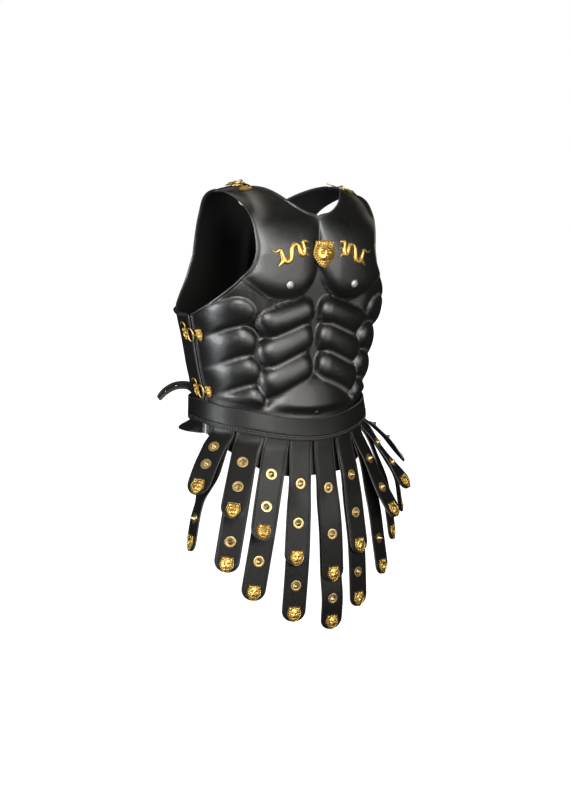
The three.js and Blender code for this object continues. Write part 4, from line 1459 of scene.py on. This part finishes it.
# ---------------------------------------------------------------- fastenings
@dataclass
class Fastening:
    """Two lion masks over a seam: the front one carries an oval ring, the back one the hook that holds it."""

    name: str
    front: Seat
    back: Seat
    along: Vector
    lift: float = 0.3
    mask: LionMask = field(default_factory=lambda: LionMask(17, 24, 5, rings=26, spokes=88, locks=16))
    ring_width: float = 7.5
    ring_height: float = 11.5
    wire: float = 1.3
    hook: float = 1.1

    def __post_init__(self) -> None:
        """Works out the seat over the seam and turns both masks upright on it."""
        across = (self.front.origin - self.back.origin).normalized()
        out = (self.front.out + self.back.out).normalized()
        up = out.cross(across).normalized()
        if up.dot(self.along) < 0:
            up.negate()
        side = up.cross(out).normalized()
        self.seam = Seat((self.front.origin + self.back.origin) * 0.5, side, up, out)
        self.facing = math.copysign(1, side.dot(self.front.origin - self.back.origin))
        self.front_seat, self.back_seat = self._upright(self.front), self._upright(self.back)

    def _upright(self, seat: Seat) -> Seat:
        """A seat turned so that its up direction runs along the seam."""
        up = (self.seam.up - seat.out * self.seam.up.dot(seat.out)).normalized()
        return Seat(seat.origin, up.cross(seat.out).normalized(), up, seat.out)

    def _over(self, u: float, v: float, h: float) -> Vector:
        """A point over the seam: towards the front plate, along the seam, outward."""
        return self.seam.at(self.facing * u, v, h + self.lift)

    def build(self, finishes: Finishes) -> None:
        """Makes and dresses both halves.

        Args:
            finishes: the materials.
        """
        count = 16
        turns = [2 * math.pi * k / count for k in range(count)]
        oval = [self._over(self.ring_width * math.cos(t), self.ring_height * math.sin(t), 4) for t in turns]
        lug = [self._over(self.ring_width - 0.3, 0, 4), self.front_seat.at(z=2.4)]
        front = joined(
            placed(self.mask.mesh(), self.front_seat),
            tube(oval, self.wire, closed=True),
            tube(lug, 1.5),
        )
        grip = [
            self.back_seat.at(z=2.4), self._over(-10.4, 0, 6.2), self._over(-7.4, 0, 7.6),
            self._over(-4.4, 0, 6.2), self._over(-3.8, 0, 3.4),
        ]
        route = ((3, 5, 3), (6, 12, 3.4), (5, 19, 3.6), (-1.5, 21.5, 3.8), (-5, 16.5, 3.6))
        forward = self.seam.side * self.facing
        curl = [self.back_seat.at(y=v, z=h) + forward * u for u, v, h in route]
        back = joined(
            placed(self.mask.mesh(), self.back_seat),
            tube(grip, self.hook, taper=(1, 1, 1, 0.9, 0.6)),
            tube(curl, self.hook, taper=(1, 1, 0.9, 0.8, 0.5)),
        )
        for half, bm in (("front", front), ("back", back)):
            node = f"clasp_{self.name}_{half}"
            finish_piece(f"lion_{node}", bm, [finishes.brass], [node], sharp=70)


@dataclass(frozen=True)
class Fastenings:
    """The six fastenings: two at each flank and one on each shoulder."""

    flank_levels: tuple[tuple[str, float], ...] = (("upper", -247), ("lower", -344))
    flank_front: float = 79.6
    flank_back: float = 91
    shoulder_front: tuple[float, float] = (44, 20)  # angle and level
    shoulder_back: tuple[float, float] = (122, 65)

    def build(self, finishes: Finishes) -> None:
        """Makes and dresses all six.

        Args:
            finishes: the materials.
        """
        for name, side in (("right", -1), ("left", 1)):
            for place, z in self.flank_levels:
                front = seat_on(front_skin, side * self.flank_front, z, GAP + 1.7)
                back = seat_on(back_skin, side * self.flank_back, z, GAP + 0.9)
                Fastening(f"{place}_{name}", front, back, Vector((0, 0, 1))).build(finishes)
            (angle, level), (back_angle, back_level) = self.shoulder_front, self.shoulder_back
            front = seat_on(front_skin, side * angle, level, GAP + 1)
            back = seat_on(back_skin, side * back_angle, back_level, GAP + 1)
            Fastening(f"shoulder_{name}", front, back, Vector((-side, 0, 0))).build(finishes)


# ---------------------------------------------------------------- belt
@dataclass
class WaistBelt:
    """Plain leather belt with a doubled row of stitches, its tongue, and the buckle behind."""

    height: float = 38.5
    thick: float = 3.2
    offset: float = 2.3
    over_straps: float = 8.0
    flat: float = 0.3
    ends: float = 152
    stations: int = 260
    edge: float = 0.9
    mean_radius: float = 150
    stitch_pitch: float = 4.2
    stitch_rows: tuple[float, ...] = (4.0, 7.2)
    groove: float = 0.45
    tongue_width: float = 20
    tongue_thick: float = 3
    tongue_level: float = -379
    seats: tuple[tuple[float, float], ...] = (
        (138, 8.2), (150, 8.4), (162, 6), (174, 4.5), (186, 4.5), (198, 8), (206.5, 11.2), (210, 10.7),
    )
    free_end: tuple[tuple[float, float, float], ...] = (
        (-67, 109.5, -379), (-75, 107.7, -378), (-85, 107, -374), (-97, 115, -362),
        (-109, 125, -352), (-128, 137, -352), (-144, 148, -362), (-154, 156, -376),
    )
    tongue_twist: float = 55
    hole: float = 2.5
    buckle_hole: float = 3.6
    buckle_angle: float = -150
    buckle_wire: float = 1.6

    def inner_lift(self, angle: float, share: float) -> float:
        """Distance of the belt's back from the body at a share of its height."""
        low = lerp(self.over_straps, self.offset, ramp(abs(angle), 94, 110))
        return low if share < self.flat else lerp(low, self.offset, (share - self.flat) / (1 - self.flat))

    def place(self, angle: float, share: float, depth: float) -> Vector:
        """A point of the belt: share of its height from the bottom, depth of its thickness from the back."""
        level = belt_top(angle) - self.height * (1 - share)
        return seat_on(TORSO.point, angle, level, self.inner_lift(angle, share) + depth).origin

    def section(self) -> list[tuple[float, float]]:
        """The rounded cross-section.

        Returns:
            Share of the height and depth of each of its points.
        """
        e, h, t = self.edge / self.height, self.height, self.thick
        rows = [row / h for row in self.stitch_rows]
        face = [0.06, 0.083, rows[0], 0.125, 0.165, rows[1], 0.208, 0.3, 0.4, 0.5, 0.6, 0.7, 0.8, 0.88, 0.95]
        crown = [(s, t + 0.25 * math.sin(math.pi * s) - (self.groove if s in rows else 0)) for s in face]
        low = [(0, 0.25 * t), (0, 0.75 * t), (0.35 * e, t - 0.3), (e, t)]
        high = [(1 - s, d) for s, d in reversed(low)]
        back = [(0.97, 0), (0.7, 0), (0.5, 0), (self.flat, 0), (0.1, 0), (0.03, 0)]
        return [*low, *crown, *high, *back]

    def build(self, finishes: Finishes) -> None:
        """Makes and dresses the belt and what is on it.

        Args:
            finishes: the materials.
        """
        turns = [lerp(-self.ends, self.ends, k / self.stations) for k in range(self.stations + 1)]
        shape = self.section()
        band = skin_over([[self.place(a, s, d) for s, d in shape] for a in turns])
        # Painted highlight: pale lines along the belt's upper and lower edges.
        painted_highlight = band.verts.layers.float.new("painted_highlight")
        edge_highlight = [max(hump(s, 0, 0.02), hump(s, 1, 0.02)) if d > 0 else 0.0 for s, d in shape]
        marks = KDTree(len(turns) * len(shape))
        for i, a in enumerate(turns):
            for k, (s, d) in enumerate(shape):
                marks.insert(self.place(a, s, d), k)
        marks.balance()
        for vert in band.verts:
            vert[painted_highlight] = 0.5 * edge_highlight[marks.find(vert.co)[1]]
        finish_piece("waist_belt", band, [finishes.strap], ["belt"], sharp=75)
        finish_piece("belt_stitching", self.stitches(), [finishes.thread])
        self.build_tongue(finishes)
        self.build_buckle(finishes)

    def stitches(self) -> bmesh.types.BMesh:
        """The rows of short, slightly slanted stitches near the belt's lower edge.

        Returns:
            All of them in one mesh.
        """
        whole = bmesh.new()
        slant = Matrix.Rotation(math.radians(12), 4, "Z")
        size = Matrix.Diagonal((1.55, 0.6, 0.55, 1.0))
        count = int(2 * math.radians(self.ends) * self.mean_radius / self.stitch_pitch)
        for row in self.stitch_rows:
            share = row / self.height
            for k in range(count):
                angle = lerp(-self.ends + 1.5, self.ends - 1.5, k / (count - 1))
                turn = self._face_seat(angle, share).matrix() @ slant @ size
                bmesh.ops.create_icosphere(whole, subdivisions=1, radius=1.0, matrix=turn)
        return whole

    def _face_seat(self, angle: float, share: float) -> Seat:
        """Seat on the belt's outer face.

        Args:
            angle: degrees round the body.
            share: share of the belt's height from the bottom.

        Returns:
            The seat.
        """
        step = 0.3
        here = self.place(angle, share, self.thick + 0.12)
        side = self.place(angle + step, share, self.thick) - self.place(angle - step, share, self.thick)
        side.normalize()
        rise = self.place(angle, share + 0.02, self.thick) - self.place(angle, share - 0.02, self.thick)
        out = side.cross(rise).normalized()
        if out.dot(Vector((here.x, here.y, 0))) < 0:
            out.negate()
        return Seat(here, side, out.cross(side).normalized(), out)

    def build_tongue(self, finishes: Finishes) -> None:
        """The narrow strap through the buckle, with its free end and punched holes.

        Args:
            finishes: the materials.
        """
        seats = [seat_on(TORSO.point, a, self.tongue_level, lift).origin for a, lift in self.seats]
        knots = [*seats, *[Vector(p) for p in self.free_end]]
        steps = 8
        line = through(knots, steps)
        rings, last = [], len(line) - 1
        start = len(self.seats) + 0.5
        full = math.radians(self.tongue_twist)
        twists = [full * ramp(i / steps, start, start + 4) for i in range(last + 1)]
        frames = [self._strap_seat(line, i, twist) for i, twist in enumerate(twists)]
        for i, frame in enumerate(frames):
            tip = clamp((last - i) / 7, 0, 1)
            half = self.tongue_width / 2 * (0.55 + 0.45 * round_off(tip))
            t = self.tongue_thick / 2
            shape = [
                (-1, -t + 0.6), (-0.96, -t), (0, -t), (0.96, -t), (1, -t + 0.6),
                (1, t - 0.6), (0.96, t), (0, t), (-0.96, t), (-1, t - 0.6),
            ]
            rings.append([frame.at(0, s * half, d) for s, d in shape])
        bm = skin_over(rings)
        # Painted highlight along the tongue's sharp edges.
        painted_highlight = bm.verts.layers.float.new("painted_highlight")
        for vert in bm.verts:
            vert[painted_highlight] = 0.5 if any(e.calc_face_angle(0) > 0.4 for e in vert.link_edges) else 0.0
        piece = finish_piece("back_tongue", bm, [finishes.strap], ["belt_tongue"])
        holes = [(7 * steps, self.buckle_hole), (13 * steps, self.hole), (14 * steps, self.hole)]
        tools = [placed(spun([(0, -6), (r, -6), (r, 6), (0, 6)], 24), frames[i]) for i, r in holes]
        self._punch(piece, joined(*tools))

    def _strap_seat(self, line: Sequence[Vector], i: int, twist: float) -> Seat:
        """Seat on the middle of a strap.

        Args:
            line: points along the strap.
            i: index of the point.
            twist: radians that its face is turned outward by.

        Returns:
            Seat with its side along the strap and its out direction out of the face.
        """
        along = (line[min(i + 1, len(line) - 1)] - line[max(i - 1, 0)]).normalized()
        out = Vector((0, 0, 1)).cross(along).normalized()
        out.rotate(Matrix.Rotation(twist, 3, along))
        return Seat(line[i], along, out.cross(along).normalized(), out)

    def _punch(self, piece: bpy.types.Object, tool: bmesh.types.BMesh) -> None:
        """Cuts bodies out of a piece.

        Args:
            piece: the piece.
            tool: the bodies in millimetres, which are freed.
        """
        bmesh.ops.scale(tool, vec=(METRE, METRE, METRE), verts=tool.verts)
        mesh = bpy.data.meshes.new("punch")
        tool.to_mesh(mesh)
        tool.free()
        cutter = bpy.data.objects.new("punch", mesh)
        bpy.context.scene.collection.objects.link(cutter)
        cut = piece.modifiers.new("holes", "BOOLEAN")
        cut.operation, cut.solver, cut.object = "DIFFERENCE", "EXACT", cutter
        bpy.context.view_layer.update()
        solid = bpy.data.meshes.new_from_object(piece.evaluated_get(bpy.context.evaluated_depsgraph_get()))
        piece.modifiers.clear()
        piece.data = solid
        bpy.data.objects.remove(cutter)
        bpy.data.meshes.remove(mesh)

    def build_buckle(self, finishes: Finishes) -> None:
        """Plate on the belt's end, frame round the strap, and prong.

        Args:
            finishes: the materials.
        """
        seat = seat_on(TORSO.point, self.buckle_angle, self.tongue_level)

        def at(back: float, up: float, lift: float) -> Vector:
            """A point behind, above and out from the seat."""
            return seat.origin - seat.side * back + seat.out * lift + Vector((0, 0, up))

        plate = bmesh.new()
        bmesh.ops.create_cube(plate, size=1.0, matrix=Matrix.Diagonal((12, 24, 1.2, 1)))
        bmesh.ops.translate(plate, vec=(2, 0, 6.8), verts=plate.verts)
        bmesh.ops.bevel(
            plate, geom=plate.edges, offset=0.4, segments=2, profile=0.5, affect="EDGES", material=-1
        )
        base = placed(plate, Seat(seat.origin, -seat.side, Vector((0, 0, -1)), seat.out))
        corners = [(6, -18, 7.7), (-14, -18, 15), (-14, 18, 15), (6, 18, 7.7)]
        loop = []
        for k, corner in enumerate(corners):
            following = corners[(k + 1) % 4]
            loop += [at(*corner).lerp(at(*following), t) for t in (0.12, 0.5, 0.88)]
        prong = [at(6, 0, 7.8), at(2.4, 0, 8.3), at(-1.6, 0, 14), at(-15, 0, 16.8)]
        whole = joined(base, tube(loop, self.buckle_wire, closed=True), tube(prong, 1.1))
        finish_piece("back_buckle", whole, [finishes.brass], ["belt_buckle"], sharp=40)


# ---------------------------------------------------------------- apron
@dataclass(frozen=True)
class StrapPair:
    """An outer and an inner strap.

    Root angle on the belt, sideways lean and turn about its own length (degrees, outer then inner), how far
    it stands out against its kind of hang, and that kind.
    """

    angle: float
    lean: tuple[float, float]
    turn: tuple[float, float]
    flare: float
    hang: int


@dataclass(frozen=True)
class Hang:
    """How two straps hang: mm out from the body and mm below the belt at each fitting, the last a plaque."""

    outer: tuple[tuple[float, float], ...]
    inner: tuple[tuple[float, float], ...]


@dataclass
class Apron:
    """Nine pairs of studded straps below the belt."""

    width: float = 43
    thick: float = 2.2
    tuck: float = 9
    tip: float = 14
    seat: float = 2.1
    plaque: LionMask = field(
        default_factory=lambda: LionMask(27, 29, 5, rings=26, spokes=88, locks=18, border=0.045)
    )
    stud_radius: float = 9.5
    stud_rim: float = 1.4
    stud_cone: float = 5.0
    stud_height: float = 7.5
    rounding: float = 6
    turn_from: float = 62
    turn_to: float = 120
    pairs: tuple[StrapPair, ...] = (
        StrapPair(-71.8, (-7, -7), (-10, -45), 0.94, 4),
        StrapPair(-56.2, (-11.8, -9.7), (0, 0), 1, 3),
        StrapPair(-37.6, (-17, -12.6), (0, 0), 1, 2),
        StrapPair(-18.4, (-7.3, -5.7), (-12, -12), 1, 1),
        StrapPair(4.5, (0.6, 0.3), (-10, -10), 1, 0),
        StrapPair(27.6, (1, 1), (-6, -6), 1.2, 1),
        StrapPair(45.5, (1, 1), (-8, -6), 1.18, 2),
        StrapPair(61.6, (1, 1), (-20, -12), 1, 3),
        StrapPair(77, (0, 0), (-10, -10), 1.04, 4),
    )
    hangs: tuple[Hang, ...] = (
        Hang(
            ((15, 82.6), (25, 162.8), (28, 231.8)),
            ((11.5, 82.6), (21, 162.8), (24, 231.8), (28, 277), (25, 319)),
        ),
        Hang(
            ((17, 70.8), (25, 137), (32, 194)),
            ((13, 70.8), (21, 137), (27, 194), (29, 244), (30, 292)),
        ),
        Hang(
            ((25, 56), (46, 106), (65, 143.7)),
            ((18, 58), (28, 110), (35, 150), (41, 199.5), (47, 249.8)),
        ),
        Hang(
            ((32, 43.5), (59, 79.5), (83, 114)),
            ((22, 45.5), (36, 83.5), (48, 126), (56, 172.5), (61, 209)),
        ),
        Hang(
            ((31, 28.7), (57, 54.3), (82, 88.5)),
            ((20, 30.7), (38, 61.3), (60, 102.5), (79, 142), (85, 182.5)),
        ),
    )

    def build(self, finishes: Finishes) -> None:
        """Makes and dresses every strap with its studs and plaque.

        Args:
            finishes: the materials.
        """
        for number, pair in enumerate(self.pairs, start=1):
            for layer in ("outer", "inner"):
                self.build_strap(finishes, pair, layer, number)

    def build_strap(self, finishes: Finishes, pair: StrapPair, layer: str, number: int) -> None:
        """One strap: its leather, the studs through it and the plaque at its end.

        Args:
            finishes: the materials.
            pair: the pair it belongs to.
            layer: outer or inner.
            number: the pair's number from the wearer's right.
        """
        run = StrapRun(self, pair, layer)
        strap, plaque = f"{layer}_strap_{number}", f"{layer}_plaque_{number}"
        finish_piece(f"{layer}_lappet_{number}", run.mesh(), [finishes.strap], [strap])
        seats = run.fittings()
        studs = seats[:2] if layer == "outer" else seats[3:4]
        brass = joined(*[placed(self.stud(), seat) for seat in studs])
        finish_piece(f"{layer}_studs_{number}", brass, [finishes.pale_brass], sharp=30)
        end = seats[-1]
        lion = placed(self.plaque.mesh(), Seat(end.at(z=GAP), end.side, end.up, end.out))
        finish_piece(f"{layer}_lion_{number}", lion, [finishes.brass], [plaque], sharp=70)

    def stud(self) -> bmesh.types.BMesh:
        """A turned stud: flat rim with a rounded edge and a pointed cone.

        Returns:
            The closed mesh, round z.
        """
        r, rim, cone, top = self.stud_radius, self.stud_rim, self.stud_cone, self.stud_height
        profile = [
            (0, -0.9), (r - 0.3, -0.9), (r - 0.3, 0.0), (r, 0.3),
            (r, rim - 0.5), (r - 0.2, rim - 0.12), (r - 0.6, rim),
            (cone + 0.9, rim), (cone + 0.3, rim - 0.25), (cone, rim),
            (cone * 0.72, rim + 2.1), (cone * 0.4, rim + 4.2),
            (0.5, top - 0.35), (0.25, top - 0.08), (0, top),
        ]
        bm = spun(profile, 40)
        # painted shade in the grooves of the stud
        paint_hollow_shade(bm, gain=2.0, passes=1)
        return bm


@dataclass
class StrapRun:
    """The route of one strap from under the belt to its tip."""

    apron: Apron
    pair: StrapPair
    layer: str

    def __post_init__(self) -> None:
        """Works out the strap's own axes and how far it stands out at each drop."""
        apron, pair = self.apron, self.pair
        self.bottom = belt_top(pair.angle) - WaistBelt.height
        root = seat_on(TORSO.point, pair.angle, self.bottom)
        self.root = root.origin
        self.out = Vector((root.out.x, root.out.y, 0)).normalized()
        self.tangent = Vector((-self.out.y, self.out.x, 0))
        self.nodes = getattr(apron.hangs[pair.hang], self.layer)
        inner = apron.seat + apron.thick / 2
        outer = apron.seat + GAP + 1.5 * apron.thick
        self.offset = outer if self.layer == "outer" else inner
        drops = [-apron.tuck, 0, *[drop for _, drop in self.nodes]]
        outs = [self.offset, self.offset, *[max(out * pair.flare, self.offset) for out, _ in self.nodes]]
        self.reach = Curve(drops, outs)
        (self.end_out, self.end), (before_out, before) = self.nodes[-1], self.nodes[-2]
        self.slope = pair.flare * (self.end_out - before_out) / (self.end - before)
        which = 0 if self.layer == "outer" else 1
        self.lean, self.turn = math.tan(math.radians(pair.lean[which])), math.radians(pair.turn[which])
        self.tip = apron.tip / math.hypot(1, self.slope)

    def centre(self, drop: float) -> Vector:
        """Middle of the strap.

        Args:
            drop: distance below the belt.

        Returns:
            The point.
        """
        sideways = max(drop, 0) * self.lean
        out = self.reach(drop) + max(drop - self.end, 0) * self.slope
        level = Vector((self.root.x, self.root.y, self.bottom - drop))
        return level + self.out * out + self.tangent * sideways

    def seat(self, drop: float) -> Seat:
        """Seat on the strap's middle plane.

        Args:
            drop: distance below the belt.

        Returns:
            Seat with its up direction along the strap and its out direction out of the face.
        """
        down = (self.centre(drop + 1) - self.centre(drop - 1)).normalized()
        side = (self.tangent - down * self.tangent.dot(down)).normalized()
        turned = self.turn * ramp(drop, self.apron.turn_from, self.apron.turn_to)
        side.rotate(Matrix.Rotation(-turned, 3, down))
        return Seat(self.centre(drop), side, -down, side.cross(-down))

    def fittings(self) -> list[Seat]:
        """Seats on the strap's face at its fittings."""
        seats = [self.seat(drop) for _, drop in self.nodes]
        return [Seat(s.at(z=self.apron.thick / 2), s.side, s.up, s.out) for s in seats]

    def mesh(self) -> bmesh.types.BMesh:
        """Makes the leather, with rounded corners, a pressed border line and pale lines of painted highlight
        along its edges and tip.

        Returns:
            The closed mesh.
        """
        apron = self.apron
        t, half_width = apron.thick / 2, apron.width / 2
        face = (-0.955, -0.9, -0.87, -0.84, -0.7, -0.45, -0.2, 0, 0.2, 0.45, 0.7, 0.84, 0.87, 0.9, 0.955)
        pressed = {-0.87: 0.35, 0.87: 0.35}
        crown = [(s, t - pressed.get(s, 0.0)) for s in face]
        under = [(s, -t) for s in (0.97, 0.6, 0.2, -0.2, -0.6, -0.97)]
        left = [(-1, -t + 0.5), (-1, t - 0.6), (-0.985, t - 0.2)]
        right = [(-s, depth) for s, depth in reversed(left)]
        shape = [*left, *crown, *right, *under]
        drops = [-apron.tuck, -3, 2, 6, 10, 14, 18, 22, 26]
        count = max(8, int((self.end - 26) / 5))
        drops += [lerp(26, self.end, k / count) for k in range(1, count + 1)]
        drops += [self.end - apron.rounding * share for share in (0.75, 0.5, 0.25)]
        drops.sort()
        turns = (0.12, 0.25, 0.38, 0.5, 0.62, 0.73, 0.82, 0.89, 0.945, 0.98)
        drops += [self.end + self.tip * share for share in turns]
        rings, marks = [], []
        for drop in drops:
            seat = self.seat(drop)
            past = clamp((drop - self.end + apron.rounding) / (self.tip + apron.rounding), 0, 1)
            half = half_width * max(0.16, math.sqrt(1 - past ** 2.2))
            hug = 1 - ramp(drop, 2, 26)
            ring = []
            for s, depth in shape:
                point = seat.at(s * half, 0, depth)
                if hug > 0:
                    angle = math.degrees(math.atan2(point.x, -point.y))
                    wrapped = seat_on(TORSO.point, angle, point.z, self.offset + depth).origin
                    point = point.lerp(wrapped, hug)
                ring.append(point)
            rings.append(ring)
        bm = skin_over(rings)
        # Painted highlight: pale lines along the long edges of the face and round the tip.
        painted_highlight = bm.verts.layers.float.new("painted_highlight")
        lookup = KDTree(sum(len(r) for r in rings))
        values = []
        for drop, ring in zip(drops, rings):
            for (s, depth), point in zip(shape, ring):
                rim = 0.5 * ramp(abs(s), 0.94, 1.0) if depth > -t else 0.0
                rim = max(rim, 0.5 * ramp(drop, self.end + self.tip * 0.9, self.end + self.tip))
                lookup.insert(point, len(values))
                values.append(rim)
        lookup.balance()
        for vert in bm.verts:
            vert[painted_highlight] = values[lookup.find(vert.co)[1]]
        return bm


# ---------------------------------------------------------------- studio
@dataclass
class Studio:
    """Camera, lights, white surroundings and floor."""

    azimuth: float = -37
    elevation: float = 7
    distance: float = 2100
    aim: tuple[float, float, float] = (0, 0, -369)
    lens: float = 52.45
    shift: tuple[float, float] = (0.0106, -0.00375)
    floor_z: float = -1900

    def axes(self) -> tuple[Vector, Vector, Vector]:
        """Directions of the camera.

        Returns:
            Right, up and back.
        """
        a, e = math.radians(self.azimuth), math.radians(self.elevation)
        back = Vector((math.sin(a) * math.cos(e), -math.cos(a) * math.cos(e), math.sin(e)))
        right = Vector((math.cos(a), math.sin(a), 0))
        return right, back.cross(right).normalized(), back

    def build(self) -> None:
        """Sets up everything round the object."""
        right, up, back = self.axes()
        data = bpy.data.cameras.new("camera")
        data.lens, data.sensor_width = self.lens, 36
        data.shift_x, data.shift_y = self.shift
        data.clip_end = 100
        camera = bpy.data.objects.new("camera", data)
        aim = Vector(self.aim) * METRE
        turn = Matrix((right, up, back)).transposed().to_4x4()
        camera.matrix_world = Matrix.Translation(aim + back * self.distance * METRE) @ turn
        bpy.context.scene.collection.objects.link(camera)
        bpy.context.scene.camera = camera
        self.lamp("left", aim, right * -1.55 + back * 1.45 + up * -0.05, 0.95, 54, (0.95, 0.98, 1.0))
        self.lamp("right", aim, right * 0.62 + back * 1.7 + up * 0.4, 0.85, 36, (1.0, 0.99, 0.97))
        self.lamp("side", aim, right * 1.6 + back * 1.1 + up * 0.1, 1.1, 18, (1.0, 0.98, 0.94))
        self.lamp("top", aim, right * -0.2 + back * 0.6 + up * 2.2, 1.6, 13, (1.0, 0.94, 0.84))
        self.lamp("low", aim, right * -1.1 + back * 1.1 + up * -1.3, 0.9, 8, (0.85, 0.91, 1.0))
        self.surroundings()
        self.floor()

    def lamp(
        self,
        name: str,
        aim: Vector,
        away: Vector,
        size: float,
        watts: float,
        colour: tuple[float, float, float],
    ) -> None:
        """A large soft lamp that faces the object.

        Args:
            name: its name.
            aim: what it faces, in metres.
            away: from there to the lamp.
            size: its diameter.
            watts: its power.
            colour: its colour.
        """
        data = bpy.data.lights.new(name, "AREA")
        data.shape, data.size, data.energy, data.color = "DISK", size, watts, colour
        lamp = bpy.data.objects.new(name, data)
        lamp.matrix_world = Matrix.Translation(aim + away) @ away.to_track_quat("Z", "Y").to_matrix().to_4x4()
        bpy.context.scene.collection.objects.link(lamp)

    def surroundings(self) -> None:
        """White to the eye, dimmer as a light."""
        world = bpy.data.worlds.new("white")
        world.use_nodes = True
        pad = NodePad(world.node_tree)
        seen = pad.add("ShaderNodeLightPath").outputs["Is Camera Ray"]
        strength = pad.span(seen, 0.0, 1.0, 0.03, 1.0)
        background = world.node_tree.nodes["Background"]
        background.inputs["Color"].default_value = (1, 1, 1, 1)
        world.node_tree.links.new(strength, background.inputs["Strength"])
        bpy.context.scene.world = world
        bpy.context.scene.view_settings.view_transform = "Standard"

    def floor(self) -> None:
        """A wide pale floor far below, as bright as the surroundings."""
        bm = bmesh.new()
        bmesh.ops.create_circle(bm, cap_ends=True, segments=64, radius=40.0)
        bmesh.ops.translate(bm, vec=(0, 0, self.floor_z * METRE), verts=bm.verts)
        mesh = bpy.data.meshes.new("studio_floor")
        bm.to_mesh(mesh)
        bm.free()
        material = bpy.data.materials.new("floor_white")
        material.use_nodes = True
        shader = material.node_tree.nodes["Principled BSDF"]
        shader.inputs["Base Color"].default_value = (0.9, 0.9, 0.9, 1)
        shader.inputs["Roughness"].default_value = 0.9
        shader.inputs["Emission Color"].default_value = (1, 1, 1, 1)
        shader.inputs["Emission Strength"].default_value = 1.3
        mesh.materials.append(material)
        floor = bpy.data.objects.new("studio_floor", mesh)
        bpy.context.scene.collection.objects.link(floor)
        floor.visible_glossy = False
        floor.visible_diffuse = False


def main() -> None:
    """Builds the cuirass and its studio."""
    logging.basicConfig(level=logging.INFO, format="%(name)s: %(message)s")
    finishes = Finishes.make()
    breastplate().build(finishes, ["breastplate"])
    Navel().build(finishes)
    backplate().build(finishes, ["backplate"])
    WaistBelt().build(finishes)
    ChestOrnaments().build(finishes)
    Fastenings().build(finishes)
    Apron().build(finishes)
    Studio().build()
    bpy.context.view_layer.update()


if __name__ == "__main__":
    main()
